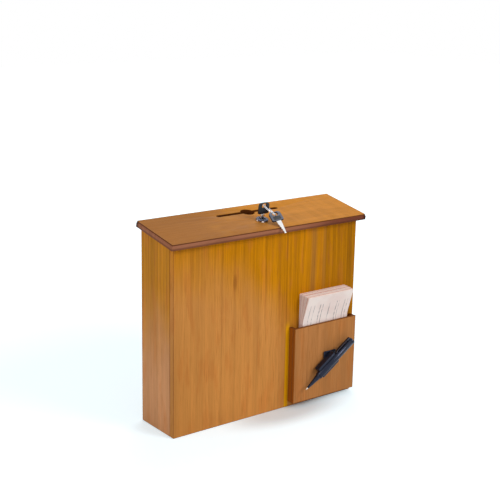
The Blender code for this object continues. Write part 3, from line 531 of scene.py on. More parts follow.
AMBER = colour(190, 121, 3)
BROWN = colour(198, 133, 66)
PINK_BROWN = colour(192, 136, 92)
SIDE_AMBER = colour(184, 120, 26)
RED_WOOD = colour(184, 106, 46)
DARK_WOOD = colour(120, 66, 22)
ARRIS_WOOD = colour(120, 72, 42)
GREY_STREAK = colour(156, 104, 48)
BRIGHT_STREAK = colour(192, 122, 6)
# Painted light: the bright strip on the front beside the pocket
POCKET_PAINTED_LIGHT = colour(232, 164, 8)
POCKET_LIGHT = colour(178, 119, 67)
POCKET_WARM = colour(168, 104, 38)
POCKET_DARK = colour(144, 80, 20)
POCKET_DARKER = colour(96, 50, 12)
LID_BROWN = colour(163, 107, 51)
LID_ORANGE = colour(199, 131, 49)
LID_YELLOW = colour(190, 130, 50)
LID_NOSE = colour(152, 98, 72)
LID_NOSE_RIGHT = colour(116, 62, 44)
# Painted shade for the lid's upright step and the underside of its nose
LID_PAINTED_SHADE = colour(84, 44, 26)
LID_CORNER_DARK = colour(60, 28, 16)
SLOT_DARK = colour(70, 26, 14)

# Shades across the boards: (share of the way across, shade), where 0.5 is the wood's own
FRONT_SHADES = ((0, 0.34), (0.09, 0.48), (0.234, 0.55), (0.243, 0.22), (0.252, 0.54), (0.28, 0.6),
                (0.31, 0.4), (0.345, 0.57), (0.545, 0.56), (0.562, 0.4), (0.589, 0.5), (0.598, 0.22),
                (0.607, 0.52), (0.66, 0.36), (0.72, 0.52), (0.745, 0.36), (0.784, 0.5), (0.806, 0.28),
                (1, 0.04))
SIDE_SHADES = ((0, 0.5), (0.1, 0.52), (0.105, 0.36), (0.115, 0.56), (0.3, 0.6), (0.43, 0.56),
               (0.44, 0.3), (0.45, 0.44), (0.66, 0.48), (0.67, 0.34), (0.68, 0.54), (0.9, 0.5), (1, 0.42))
PLAIN_SHADES = ((0, 0.44), (0.21, 0.52), (0.22, 0.36), (0.23, 0.55), (0.48, 0.47), (0.49, 0.34), (0.5, 0.52),
                (0.77, 0.56), (0.78, 0.36), (0.79, 0.5), (1, 0.45))
POCKET_SHADES = ((0, 0.46), (0.08, 0.6), (0.2, 0.55), (0.35, 0.58), (0.5, 0.52), (0.7, 0.52), (0.85, 0.5),
                 (1, 0.52))

# Patterns of a board, across it, along its grain and through it
LINES = (420, 5, 30, 3, 0.36, 0.64)
BANDS = (75, 1.6, 10, 2, 0.34, 0.66)
STREAKS = (210, 2.6, 20, 3, 0.38, 0.62)
VEINS = (250, 1.3, 12, 2, 0.60, 0.70)
PORES = (1500, 26, 90, 2, 0.50, 0.72)
DASHES = (560, 42, 60, 2, 0.56, 0.66)
RED_PATCHES = (60, 14, 20, 3, 0.50, 0.66)
VEIN_SHIFT = 0.028
WANDER = 0.007

# How far each pattern lightens or darkens a board
BOARD_LEVEL = 1.03
SHADE_DEPTH = 0.62
LINE_DEPTH = 0.06
BAND_DEPTH = 0.12
CLOUD_DEPTH = 0.22
STREAK_DEPTH = 0.22
VEIN_DEPTH = 0.24
DASH_DEPTH = 0.08
UNRIPE_FIGURE = 0.25
RED_SHARE = 0.30
PORE_DEPTH = 0.00012

# Marks on the front: (place across, half width, colour, strength) of each streak
FRONT_STREAKS = ((0.095, 0.0075, GREY_STREAK, 0.6), (0.1185, 0.004, GREY_STREAK, 0.45),
                 (0.0845, 0.0035, BRIGHT_STREAK, 0.6), (0.1080, 0.0035, BRIGHT_STREAK, 0.6))
KNOT_PLACE = (-0.0705, 0.243)
KNOT_REACH = (0.0065, 0.020)
POCKET_PAINTED_LIGHT_PLACE = 0.0418

# Patterns of the lid, along X, up its slope and through it
LID_LINES = (7, 360, 40, 3, 0.36, 0.64)
LID_BANDS = (3, 70, 10, 2, 0.34, 0.66)
LID_PORES = (34, 1500, 90, 2, 0.50, 0.72)
LID_RIPPLES = (70, 9, 5, 2, 0.35, 0.65)
LID_WANDER = 0.012


def board_wood(node, axes, tones, ripe, shades, top=None, marks=None, pore_share=0.35, arris_share=0.55):
    """Lacquered straight-grained wood; axes are the board's across, along its grain and through it."""
    wood = Finish(node.removesuffix("_panel") + "_wood", 0.42, specular=0.03)
    low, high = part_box(node)
    u, v, w = (getattr(wood, axis) for axis in axes)
    u = u + (wood.noise(v * 5, u * 9, w * 3) - 0.5) * WANDER
    axis = "xyz".index(axes[0])
    shade = wood.node("ValToRGB", {"stops": shades}, {0: (u - low[axis]) / (high[axis] - low[axis])})
    lines, bands, pores = (wood.figure(u, v, w, pattern) for pattern in (LINES, BANDS, PORES))
    cloud = wood.noise(u * 14, v * 7, w * 7)
    ripeness = ripe(wood, cloud)
    tone = wood.mix(ripeness, *tones)
    tone = wood.mix(wood.figure(u, v, w, RED_PATCHES) * RED_SHARE, tone, RED_WOOD)
    level = BOARD_LEVEL + (shade - 0.5) * SHADE_DEPTH + (lines - 0.5) * LINE_DEPTH
    level = level + (bands - 0.5) * BAND_DEPTH + (cloud - 0.5) * CLOUD_DEPTH
    tone = wood.scale(tone, level + figured(wood, u, v, w, ripeness))
    if marks:
        tone = marks(wood, u, v, tone)
    tone = wood.mix(pores * pore_share * (0.4 + bands * 0.6), tone, DARK_WOOD)
    worn = worn_arris(wood, low, high, top, cloud)
    tone = wood.mix(worn * arris_share, tone, ARRIS_WOOD)
    rough = 0.36 + pores * 0.16 + worn * 0.08
    return wood.complete(tone, rough, lines * 0.35 - pores * 0.65, PORE_DEPTH, 0.4)


def figured(wood, u, v, w, ripeness):
    """Streaks lighten the wood, veins and dashes darken it, and all show most where it is ripe."""
    streaks = wood.figure(u, v, w, STREAKS)
    veins = wood.figure(u + VEIN_SHIFT, v, w, VEINS)
    dashes = wood.figure(u, v, w, DASHES)
    depth = (streaks - 0.5) * STREAK_DEPTH - veins * VEIN_DEPTH - dashes * DASH_DEPTH
    return depth * (UNRIPE_FIGURE + ripeness * (1 - UNRIPE_FIGURE))


def worn_arris(wood, low, high, top, cloud):
    """One along a board's edges: the middle one of the distances to its faces is small there."""
    ends = (high.x, high.y, top(wood) if top else high.z)
    a, b, c = ((place - low[i]).least(ends[i] - place) for i, place in enumerate((wood.x, wood.y, wood.z)))
    to_arris = a.least(b).most(a.most(b).least(c))
    return wood.fall(to_arris + (cloud - 0.5) * 0.0016, 0.0003, 0.0017)


def body_top(wood):
    """The height of the body's sloping top edges."""
    return FRONT_HEIGHT + (wood.y - FRONT) * math.tan(SLOPE)


# Shares of a board's second tone

def front_ripe(wood, cloud):
    """Amber over the upper right of the front, browner and paler towards the lower left, partly the wood's own
    tone and partly a painted sheen from the floor.
    """
    level = wood.z + wood.x * 0.45 + wood.x.most(0.0) * 0.95 + (cloud - 0.5) * 0.12
    return wood.smooth(level, 0.135, 0.265)


def side_ripe(wood, cloud):
    return wood.smooth(wood.z + (cloud - 0.5) * 0.12, 0.10, 0.245)


def even_ripe(wood, cloud):
    return wood.smooth(wood.z + wood.x * 0.3 + (cloud - 0.5) * 0.3, 0.08, 0.30)


def pocket_ripe(wood, cloud):
    return wood.smooth((cloud - 0.5) + wood.z, 0.0, 0.5) * 0.25


def front_marks(wood, u, v, tone):
    """Grey and bright streaks at the right, a knot, and a painted strip of light by the pocket."""
    upper = wood.smooth(v, 0.13, 0.20)
    for centre, half, streak, share in FRONT_STREAKS:
        near = wood.fall((u - centre).size(), half * 0.1, half * 1.5)
        tone = wood.mix(near * upper * share, tone, streak)
    from_knot = wood.length((u - KNOT_PLACE[0]) / KNOT_REACH[0], (v - KNOT_PLACE[1]) / KNOT_REACH[1])
    tone = wood.mix(wood.fall(from_knot, 0.2, 1.0) * 0.45, tone, DARK_WOOD)
    # Painted light: a bright yellow strip on the front, just left of the pocket
    painted_light_by_pocket = wood.fall((wood.x - POCKET_PAINTED_LIGHT_PLACE).size(), 0.0018, 0.0060)
    return wood.mix(painted_light_by_pocket * wood.fall(v, 0.14, 0.158), tone, POCKET_PAINTED_LIGHT)


def pocket_marks(wood, u, v, tone):
    """The end grain on the pocket's left is stained much darker, its top edge is darker, and its bottom edge has
    painted shade.
    """
    left = wood.fall(wood.x, POCKET_LOW.x + 0.0004, POCKET_LOW.x + 0.0011)
    top = wood.smooth(wood.z, POCKET_HIGH.z - 0.0010, POCKET_HIGH.z - 0.0004)
    # Painted shade along the pocket's bottom edge
    painted_under_shade = wood.fall(wood.z, POCKET_LOW.z + 0.0004, POCKET_LOW.z + 0.0012)
    tone = wood.mix(left, tone, POCKET_DARK)
    return wood.mix(top.most(painted_under_shade) * 0.8, tone, POCKET_DARKER)


def dress_board(node, *look):
    dress(node, board_wood(node, *look))


def make_body_wood():
    dress_board("front_panel", "xzy", (BROWN, AMBER), front_ripe, FRONT_SHADES, body_top, front_marks)
    for side in ("left_panel", "right_panel"):
        dress_board(side, "yzx", (PINK_BROWN, SIDE_AMBER), side_ripe, SIDE_SHADES, body_top)
    dress_board("back_panel", "xzy", (BROWN, SIDE_AMBER), even_ripe, PLAIN_SHADES, body_top)
    dress_board("bottom_panel", "yxz", (BROWN, BROWN), even_ripe, PLAIN_SHADES)


def make_pocket_wood():
    dress_board("pocket_front", "xzy", (POCKET_LIGHT, POCKET_WARM), pocket_ripe, POCKET_SHADES, None,
                pocket_marks, 0.5, 0.3)
    dark = (POCKET_DARK, POCKET_DARK)
    for side in ("pocket_left_side", "pocket_right_side"):
        dress_board(side, "yzx", dark, pocket_ripe, PLAIN_SHADES, None, pocket_marks)
    dress_board("pocket_bottom", "yxz", dark, pocket_ripe, PLAIN_SHADES)


def lid_place(finish):
    """Places on the closed lid: how far up its slope and how high over its underside."""
    cos, sin = math.cos(SLOPE), math.sin(SLOPE)
    origin = HINGE.to_translation()
    from_y, from_z = finish.y - origin.y, finish.z - origin.z
    return from_y * cos + from_z * sin, from_z * cos - from_y * sin


def lid_wood():
    """Grain along X, with a darker moulded edge and slot."""
    wood = Finish("lid_wood", 0.4, specular=0.015)
    up_slope, height = lid_place(wood)
    across = up_slope + (wood.noise(wood.x * 6, up_slope * 20, height * 3) - 0.5) * LID_WANDER
    lines = wood.figure(wood.x, across, height, LID_LINES)
    pores = wood.figure(wood.x, across, height, LID_PORES)
    tone = lid_face(wood, up_slope, across, height, lines)
    tone = wood.mix(pores * 0.3, tone, DARK_WOOD)
    tone = lid_edge(wood, up_slope, height, lines, tone)
    tone = slot_walls(wood, up_slope, height, tone)
    return wood.complete(tone, 0.34 + pores * 0.16, lines * 0.35 - pores * 0.65, PORE_DEPTH, 0.4)


def lid_face(wood, up_slope, across, height, lines):
    """Brown at the left, orange at the right, with yellow patches where they meet."""
    bands = wood.figure(wood.x, across, height, LID_BANDS)
    ripples = wood.figure(wood.x, up_slope, height, LID_RIPPLES)
    cloud = wood.noise(wood.x * 13, up_slope * 24, height * 5)
    warm = wood.smooth(wood.x + (cloud - 0.5) * 0.20, -0.13, 0.06)
    tone = wood.mix(warm, LID_BROWN, LID_ORANGE)
    between = 1 - (warm - 0.5).size() * 2
    tone = wood.mix(between * wood.smooth(cloud, 0.45, 0.6) * 0.7, tone, LID_YELLOW)
    return wood.scale(tone, 1 + (lines - 0.5) * 0.08 + (bands - 0.5) * 0.08 + (ripples - 0.5) * warm * 0.10)


def lid_edge(wood, up_slope, height, lines, tone):
    """The rounded nose is stained pinkish brown, with painted shade under it and on the step over it, and two
    corners darker.
    """
    from_edge = (LID_HALF - wood.x.size()).least(up_slope - LID_FRONT)
    nose = wood.fall(from_edge, LID_STEP_INSET - 0.0002, LID_STEP_INSET + 0.0002)
    nose_tone = wood.mix(wood.smooth(wood.x, 0.02, 0.16), LID_NOSE, LID_NOSE_RIGHT)
    nose_tone = wood.scale(nose_tone, 1 + (lines - 0.5) * 0.2)
    # Painted shade on the lower part of the rounded nose
    painted_under_shade = wood.fall(height, LID_TOP * 0.22, LID_TOP * 0.42)
    nose_tone = wood.mix(painted_under_shade * 0.5, nose_tone, LID_PAINTED_SHADE)
    tone = wood.mix(nose, tone, nose_tone)
    # Painted shade on the upright step above the nose
    foot = LID_TOP - LID_STEP
    over_foot = wood.smooth(height, foot - 0.0005, foot + 0.0004)
    step = over_foot * wood.fall(height, LID_TOP - 0.0007, LID_TOP - 0.0002)
    tone = wood.mix(step * wood.fall(from_edge, 0.0018, 0.0024) * 0.85, tone, LID_PAINTED_SHADE)
    right_front = wood.length(LID_HALF - wood.x, up_slope - LID_FRONT)
    left_back = wood.length(LID_HALF + wood.x, LID_BACK - up_slope)
    corner = wood.fall(right_front.least(left_back), 0.002, 0.009) * nose
    return wood.mix(corner * 0.85, tone, LID_CORNER_DARK)


def slot_walls(wood, up_slope, height, tone):
    """The walls of the letter slot and its hole are darker."""
    along_x = wood.fall(wood.x.size(), SLOT_LENGTH / 2, SLOT_LENGTH / 2 + 0.0008)
    along_y = wood.fall((up_slope - SLOT_PLACE).size(), SLOT_HOLE_RADIUS, SLOT_HOLE_RADIUS + 0.0008)
    below = wood.fall(height, LID_TOP - 0.0010, LID_TOP - 0.0003)
    above = wood.smooth(height, 0.0002, 0.0006)
    return wood.mix(along_x * along_y * below * above * 0.9, tone, SLOT_DARK)


# Metal, plastic, card and foam, with their patterns' cells to a metre

# The bezel's chrome, painted bright on its wall and dark on its face as painted reflection
WALL_CHROME_PAINTED_BRIGHT = (0.62, 0.63, 0.68, 1)
FACE_CHROME_PAINTED_DARK = (0.05, 0.055, 0.095, 1)
GLINT_WHITE = (0.95, 0.94, 0.96, 1)
SCRATCHES = 900
SCRATCHES_UPRIGHT = 2600
SCRATCH_DEPTH = 0.00002
SMUDGES = 240
BLUE_SHEEN = (0.62, 0.70, 1.0, 1)
RUBBED_PLASTIC = colour(26, 27, 42)
KEY_BLACK = colour(8, 8, 18)
HUNG_KEY_GREY = colour(92, 96, 110)
HUNG_KEY_PANEL = colour(46, 46, 46)
MOULD_SPARKS = 2600
SPARK_DEPTH = 0.00003
RUBS = 160
CARD_WHITE = colour(244, 230, 222)
CARD_PINK = colour(234, 212, 204)
CARD_EDGE = colour(255, 240, 232)
CARD_EDGE_TINTED = colour(214, 162, 154)
CARD_EDGE_DARK = colour(226, 186, 174)
CARD_INK = colour(136, 126, 128)
CARD_FIBRES = 1200
FIBRE_DEPTH = 0.00002
CARD_CLOUDS = 30
CARD_CUTS = 700
FOAM_WHITE = colour(226, 226, 222)
FOAM_GREY = colour(190, 190, 186)
FOAM_CELLS = 3000
FOAM_DEPTH = 0.0001

# Generic ruled lines on the front card: (share of its width, half a line's width), and their upper end
CARD_RULES = ((0.10, 0.0005), (0.18, 0.0005), (0.31, 0.0008), (0.37, 0.0006), (0.52, 0.0008), (0.68, 0.0008),
              (0.73, 0.0004), (0.86, 0.0006), (0.92, 0.0005))
CARD_RULES_TOP = 0.1835
RULE_SHIFT = 90
RULE_WOBBLE = 0.002


def metal(name, tint, roughness):
    """Plated or polished metal with faint handling marks."""
    finish = Finish(name, roughness, 1.0)
    marks = finish.grit(SCRATCHES, 3.0, SCRATCHES_UPRIGHT)
    smudge = finish.smooth(finish.grit(SMUDGES), 0.40, 0.66)
    tone = finish.scale(tint, 1 - smudge * 0.10 - marks * 0.05)
    return finish.complete(tone, roughness + marks * 0.05 + smudge * 0.06, marks, SCRATCH_DEPTH, 0.3)


def bezel_chrome():
    """One chrome with painted reflection, dark on the bezel's face and bright on its wall, and two painted
    highlights.
    """
    finish = Finish("lock_chrome", 0.12, 1.0)
    up_slope, height = lid_place(finish)
    axis_up_slope = (HINGE.inverted() @ LOCK.to_translation()).y
    marks = finish.grit(SCRATCHES, 3.0, SCRATCHES_UPRIGHT)
    # Painted reflection: the same chrome is dark over the face and bright on the wall below it
    face = finish.smooth(height, LID_TOP + BEZEL_FACE - 0.0003, LID_TOP + BEZEL_FACE + 0.0003)
    # Two painted highlights on the bezel's wall, white and not metallic
    painted_glints = 0.0
    for across, up in BEZEL_GLINTS:
        from_glint = finish.length(finish.x - across, up_slope - axis_up_slope - up,
                                   height - LID_TOP - BEZEL_GLINT_HEIGHT)
        painted_glints = painted_glints + finish.fall(from_glint, 0.0015, 0.0028)
    finish.set("Metallic", 1 - painted_glints * 0.85)
    tone = finish.mix(painted_glints, finish.mix(face, WALL_CHROME_PAINTED_BRIGHT, FACE_CHROME_PAINTED_DARK), GLINT_WHITE)
    return finish.complete(tone, 0.08 + marks * 0.08, marks, SCRATCH_DEPTH, 0.3)


def plastic(name, tint, roughness, sheen=None):
    """Moulded plastic with a fine spark-eroded texture; black plastic has a bluish sheen."""
    finish = Finish(name, roughness)
    if sheen:
        finish.set("Specular Tint", sheen)
    speckle = finish.grit(MOULD_SPARKS)
    rub = finish.smooth(finish.grit(RUBS, 3.0), 0.45, 0.7)
    tone = finish.mix(rub * 0.35, tint, RUBBED_PLASTIC)
    return finish.complete(tone, roughness + speckle * 0.12 + rub * 0.06, speckle, SPARK_DEPTH, 0.4)


def key_plastic(name, place, face_tone, panel_tone):
    """Moulded key head: its two faces can be lighter than its sides, with a darker bare panel."""
    finish = Finish(name, 0.32, specular=0.45)
    across = Vector(place.col[1][:3])
    face = finish.smooth(finish.dot(finish.facing, across).size(), 0.80, 0.95)
    from_middle = finish.dot(finish.place, across) - place.to_translation().dot(across)
    surface = KEY_BOW_THICKNESS / 2
    sunk = finish.fall(from_middle.size(), surface - KEY_PANEL_DEPTH, surface)
    speckle = finish.grit(MOULD_SPARKS)
    tone = finish.mix(face, KEY_BLACK, finish.mix(sunk, face_tone, panel_tone))
    return finish.complete(tone, 0.32 + speckle * 0.12, speckle, SPARK_DEPTH, 0.4)


def card_finish(name, ruled=False, edge_tone=CARD_EDGE):
    """Uncoated card with tinted cut edges; the front one has generic ruled lines."""
    card = Finish(name, 0.75, specular=0.25)
    side = card.dot(card.facing, (1, 0, 0)).size()
    top = card.dot(card.facing, (0, 0, 1))
    edge = card.smooth(side, 0.5, 0.8).most(card.smooth(top, 0.6, 0.85))
    tone = card.mix(card.smooth(card.grit(CARD_CLOUDS), 0.3, 0.8), CARD_WHITE, CARD_PINK)
    if ruled:
        tone = ruled_lines(card, tone)
    cuts = card.smooth(card.noise(1.0, card.y * CARD_CUTS, 2.0, 1.0), 0.42, 0.58)
    tone = card.mix(edge, tone, card.mix(cuts * 0.35, edge_tone, CARD_EDGE_DARK))
    fibre = card.grit(CARD_FIBRES, 3.0)
    return card.complete(tone, 0.72 + fibre * 0.1, fibre, FIBRE_DEPTH, 0.3)


def ruled_lines(card, tone):
    """Wobbling, broken lines that run up the card."""
    width = CARD_HIGH.x - CARD_LOW.x
    below = card.fall(card.z, CARD_RULES_TOP - 0.004, CARD_RULES_TOP)
    for share, half in CARD_RULES:
        shift = share * RULE_SHIFT
        wobble = (card.noise(shift, 0.0, card.z * 120) - 0.5) * RULE_WOBBLE
        from_line = (card.x + wobble - (CARD_LOW.x + share * width)).size()
        broken = card.smooth(card.noise(card.x * 40 + shift, 0.0, card.z * 150), 0.40, 0.56)
        line = card.fall(from_line, half * 0.6, half * 1.4)
        tone = card.mix(line * below * (0.25 + broken * 0.6), tone, CARD_INK)
    return tone


def foam():
    finish = Finish("adhesive_foam", 0.9, specular=0.2)
    cells = finish.grit(FOAM_CELLS)
    return finish.complete(finish.mix(cells, FOAM_WHITE, FOAM_GREY), 0.9, cells, FOAM_DEPTH, 0.6)


# Pieces

def make_lid():
    lid = refined("lid_board", "lid", LID_EASE, 2, 40)
    settle(lid, IN_PLACE, "lid", "lid_wood", lid_wood(), "lid", smooth=30)


def make_hardware(steel):
    """Hinges, lock fittings and strike: CAD shapes with their edges broken."""
    bodies = {name: body for body, names in frame["record"]["behaviour"]["bodies"].items() for name in names}
    fittings = ("lock_washer", "lock_nut", "lock_cam", "cam_screw", "lock_strike")
    small = [name for name in frame["nodes"] if name.startswith(("hinge", "strike")) or name in fittings]
    for name in sorted(small):
        made = refined(f"{name}_finished", name, METAL_EASE)
        if "screw" in name:
            cross_recess(made)
        settle(made, IN_PLACE, bodies[name], "plated_steel", steel, name)
    dress("cradle_rivet", steel)


def cross_recess(screw):
    """Sinks a driver's cross into the screw's largest face, its head."""
    head = max(screw.data.polygons, key=lambda face: face.area)
    place = Matrix.Translation(head.center) @ head.normal.to_track_quat('Z', 'Y').to_matrix().to_4x4()
    half, thin = RECESS_LENGTH / 2, RECESS_WIDTH / 2
    for low in ((-half, -thin, -RECESS_DEPTH), (-thin, -half, -RECESS_DEPTH)):
        arm = block("recess_cutter", low, [-size for size in low])
        arm.data.transform(place)
        cut(screw, arm)


def make_lock(chrome, plug_metal):
    """The threaded barrel with a ring groove in its bezel, and the plug that turns in it."""
    bore = PLUG_RADIUS + GAP
    top = GAP + BEZEL_HEIGHT
    groove = BEZEL_RADIUS * BEZEL_GROOVE_SHARE
    profile = [(bore, top - LIP), (bore + LIP, top), (groove, top), (groove + LIP, top - LIP / 2),
               (groove + 2 * LIP, top - LIP / 2), (groove + 3 * LIP, top)]
    profile += fillet((BEZEL_RADIUS - BEZEL_SLANT, top - BEZEL_SLANT), BEZEL_SLANT, 90, 0)
    profile += [(BEZEL_RADIUS, GAP + LIP), (BEZEL_RADIUS - LIP, GAP), (BARREL_RADIUS, GAP)]
    level = THREAD_TOP
    while level > -BARREL_LENGTH + THREAD_PITCH:
        profile += [(BARREL_RADIUS, level), (BARREL_RADIUS - THREAD_DEPTH, level - THREAD_PITCH / 2)]
        level -= THREAD_PITCH
    profile += [(BARREL_RADIUS, level), (BARREL_RADIUS, -BARREL_LENGTH), (bore, -BARREL_LENGTH), profile[0]]
    settle(turned("lock_barrel", profile), LOCK, "lid", "lock_chrome", chrome, "lock_housing", smooth=30)
    plug = refined("lock_plug_finished", "lock_plug", PLUG_EASE)
    settle(plug, IN_PLACE, "plug", "lock_plug_metal", plug_metal, "lock_plug")


def make_keys(key_metal):
    """Key 1 stands in the lock, and key 2, grey on its faces, hangs on the ring."""
    key_1 = LOCK @ Matrix.Translation((0, 0, KEY_STANDING))
    key_2 = hung_key_frame()
    black = key_plastic("key_plastic", key_1, KEY_BLACK, KEY_BLACK)
    grey = key_plastic("key_plastic_grey_faced", key_2, HUNG_KEY_GREY, HUNG_KEY_PANEL)
    for label, place, moulded in (("key_1", key_1, black), ("key_2", key_2, grey)):
        key_bow(f"{label}_head", place, label, moulded, f"{label}_bow")
        key_blade(f"{label}_blade_cut", place, label, key_metal, f"{label}_blade")


def face_cutters(low, high, near, far):
    """A block over each face of a flat key, between two (across, up) corners and two depths."""
    for first, last in ((-far, -near), (near, far)):
        yield block("face_cutter", (low[0], first, low[1]), (high[0], last, high[1]))


def key_bow(name, place, body, finish, node):
    """A moulded key head with an eye for the ring and a bare sunk panel on both faces."""
    half, thick = KEY_BOW_WIDTH / 2, KEY_BOW_THICKNESS / 2
    bow = block(name, (-half, -thick, 0), (half, thick, KEY_BOW_HEIGHT))
    round_edges(bow, lambda a, b: abs(a.y - b.y) > thick and a.z > thick, KEY_BOW_CORNER, 8)
    round_edges(bow, lambda a, b: abs(a.y - b.y) > thick and a.z < thick, KEY_FOOT_CORNER, 6)
    half_width, half_height = KEY_EYE_WIDTH / 2, KEY_EYE_HEIGHT / 2
    eye = block("eye_cutter", (-half_width, -2 * thick, KEY_EYE_PLACE - half_height),
                (half_width, 2 * thick, KEY_EYE_PLACE + half_height))
    round_edges(eye, lambda a, b: abs(a.y - b.y) > thick, half_height - HAIR, 12)
    cut(bow, eye)
    ease(bow, KEY_BOW_EASE, 2, 60)
    half = KEY_PANEL_WIDTH / 2
    floor = thick - KEY_PANEL_DEPTH
    for panel in face_cutters((-half, KEY_PANEL_LOW), (half, KEY_PANEL_HIGH), floor, 2 * thick):
        round_edges(panel, lambda a, b: abs(a.y - b.y) > thick / 2, KEY_PANEL_CORNER, 4)
        cut(bow, panel)
    half, thin = KEY_TANG_WIDTH / 2, KEY_TANG_THICKNESS / 2
    cut(bow, block("tang_cutter", (-half, -thin, -GAP), (half, thin, KEY_TANG_LENGTH)))
    settle(bow, place, body, "key_plastic", finish, node)


def key_blade(name, place, body, finish, node):
    """The blade, narrower towards its tip, with a milled groove along both faces."""
    blade = refined(name, node, 0.0)
    to_key = place.inverted()
    for vert in blade.data.vertices:
        spot = to_key @ vert.co
        spot.x *= 1 - BLADE_TAPER * min(max(-spot.z / BLADE_LENGTH, 0), 1)
        vert.co = place @ spot
    for groove in face_cutters(BLADE_GROOVE_LOW, BLADE_GROOVE_HIGH, BLADE_GROOVE_FLOOR, BLADE_GROOVE_CLEAR):
        groove.data.transform(place)
        cut(blade, groove)
    ease(blade, METAL_EASE, 2, 40)
    settle(blade, IN_PLACE, body, "key_metal", finish, node)


def hung_key_frame():
    """Key 2's frame, from the place on the ring that its eye hangs on."""
    lean = Matrix.Rotation(HUNG_KEY_PITCH - math.pi / 2, 4, 'X')
    turn = Matrix.Rotation(HUNG_KEY_YAW, 4, 'Z') @ lean @ Matrix.Rotation(math.pi - HUNG_KEY_ROLL, 4, 'Z')
    eye = HINGE.inverted() @ HUNG_KEY_PLACE
    return HINGE @ Matrix.Translation(eye - turn @ RING_IN_HUNG_EYE) @ turn


def make_ring(finish):
    """Two close turns of round wire between the eyes of the two keys."""
    near = LOCK @ RING_IN_KEY_1
    towards = (HUNG_KEY_PLACE - near).normalized()
    side = Vector(JOINTS["key_2_swing"]["axis"])
    side = (side - side.dot(towards) * towards).normalized()
    turn = Matrix((side, towards.cross(side), towards)).transposed().to_4x4()
    wire = added("split_ring_curve", ring_curve())
    bpy.context.view_layer.update()
    mesh = bpy.data.meshes.new_from_object(wire.evaluated_get(bpy.context.evaluated_depsgraph_get()))
    bpy.data.objects.remove(wire)
    ring = added("split_ring", mesh)
    edit(ring)
    weld(RING_MERGE)
    bpy.ops.mesh.normals_make_consistent(inside=False)
    done()
    place = Matrix.Translation((near + HUNG_KEY_PLACE) / 2) @ turn
    settle(ring, place, "ring", "ring_steel", finish, "key_ring")


def ring_curve():
    """The wire's line, with its round section and closed ends."""
    curve = bpy.data.curves.new("split_ring", 'CURVE')
    curve.dimensions = '3D'
    curve.bevel_depth = RING_WIRE / 2
    curve.bevel_resolution = 4
    curve.use_fill_caps = True
    spline = curve.splines.new('POLY')
    spline.points.add(RING_TURNS * RING_LOOP_POINTS)
    for i, point in enumerate(spline.points):
        angle = math.tau * i / RING_LOOP_POINTS
        drift = RING_PITCH * (i / RING_LOOP_POINTS - RING_TURNS / 2)
        point.co = (RING_RADIUS * math.cos(angle), drift, RING_RADIUS * math.sin(angle), 1)
    return curve


def make_cards():
    """Separate leaves, upright at the back and fanned forward in a few groups."""
    plain = card_finish("card_plain")
    tinted = card_finish("card_tinted", edge_tone=CARD_EDGE_TINTED)
    ruled = card_finish("card_ruled", ruled=True)
    back, front = FRONT - GAP, POCKET_LOW.y + POCKET_BOARD + GAP
    pitch = (back - front - CARD_THICKNESS) / (CARD_LEAVES - 1)
    leaf = card_leaf()
    for i in range(CARD_LEAVES):
        card = added(f"card_{i + 1:02d}", leaf.data.copy())
        lean = CARD_LEAN * along(CARD_FAN_SHARES, i / (CARD_LEAVES - 1))
        depth = back - CARD_THICKNESS / 2 - i * pitch
        lean_card(card, lean, depth, CARD_STRAY * math.sin(i * CARD_STRAY_TURN))
        in_tinted = any(first <= i <= last for first, last in CARD_TINTED_GROUPS)
        finish = ruled if i == CARD_LEAVES - 1 else tinted if in_tinted else plain
        node = f"suggestion_cards_{i * CARD_BUNDLES // CARD_LEAVES + 1}"
        settle(card, IN_PLACE, "cards", "card", finish, node, smooth=20)
    bpy.data.objects.remove(leaf)


def card_leaf():
    """One upright leaf with many short rows, so that it can bend."""
    foot = POCKET_LOW.z + POCKET_BOARD + GAP
    leaf = block("card_leaf", (CARD_LOW.x + CARD_STRAY, -CARD_THICKNESS / 2, foot),
                 (CARD_HIGH.x - CARD_STRAY, CARD_THICKNESS / 2, foot + CARD_HEIGHT))
    edit(leaf)
    pick_edges(leaf, lambda a, b: abs(a.z - b.z) > CARD_HEIGHT / 2)
    bpy.ops.mesh.subdivide(number_cuts=CARD_STEPS)
    done()
    return leaf


def lean_card(card, lean, depth, stray):
    """Bends a leaf forward over the pocket's mouth, and puts it at its depth in the stack."""
    mouth = POCKET_HIGH.z + GAP
    for vert in card.data.vertices:
        up = vert.co.z - mouth
        bent = min(max(up / CARD_BEND_LENGTH, 0), 1)
        rest = max(up - CARD_BEND_LENGTH, 0)
        angle = lean * bent
        reach = CARD_BEND_LENGTH * bent * math.sin(angle / 2) + rest * math.sin(lean)
        rise = CARD_BEND_LENGTH * bent * math.cos(angle / 2) + rest * math.cos(lean)
        through = vert.co.y
        if up > 0:
            vert.co.z = mouth + rise + through * math.sin(angle)
        vert.co.y = depth - reach + through * math.cos(angle)
        vert.co.x += stray


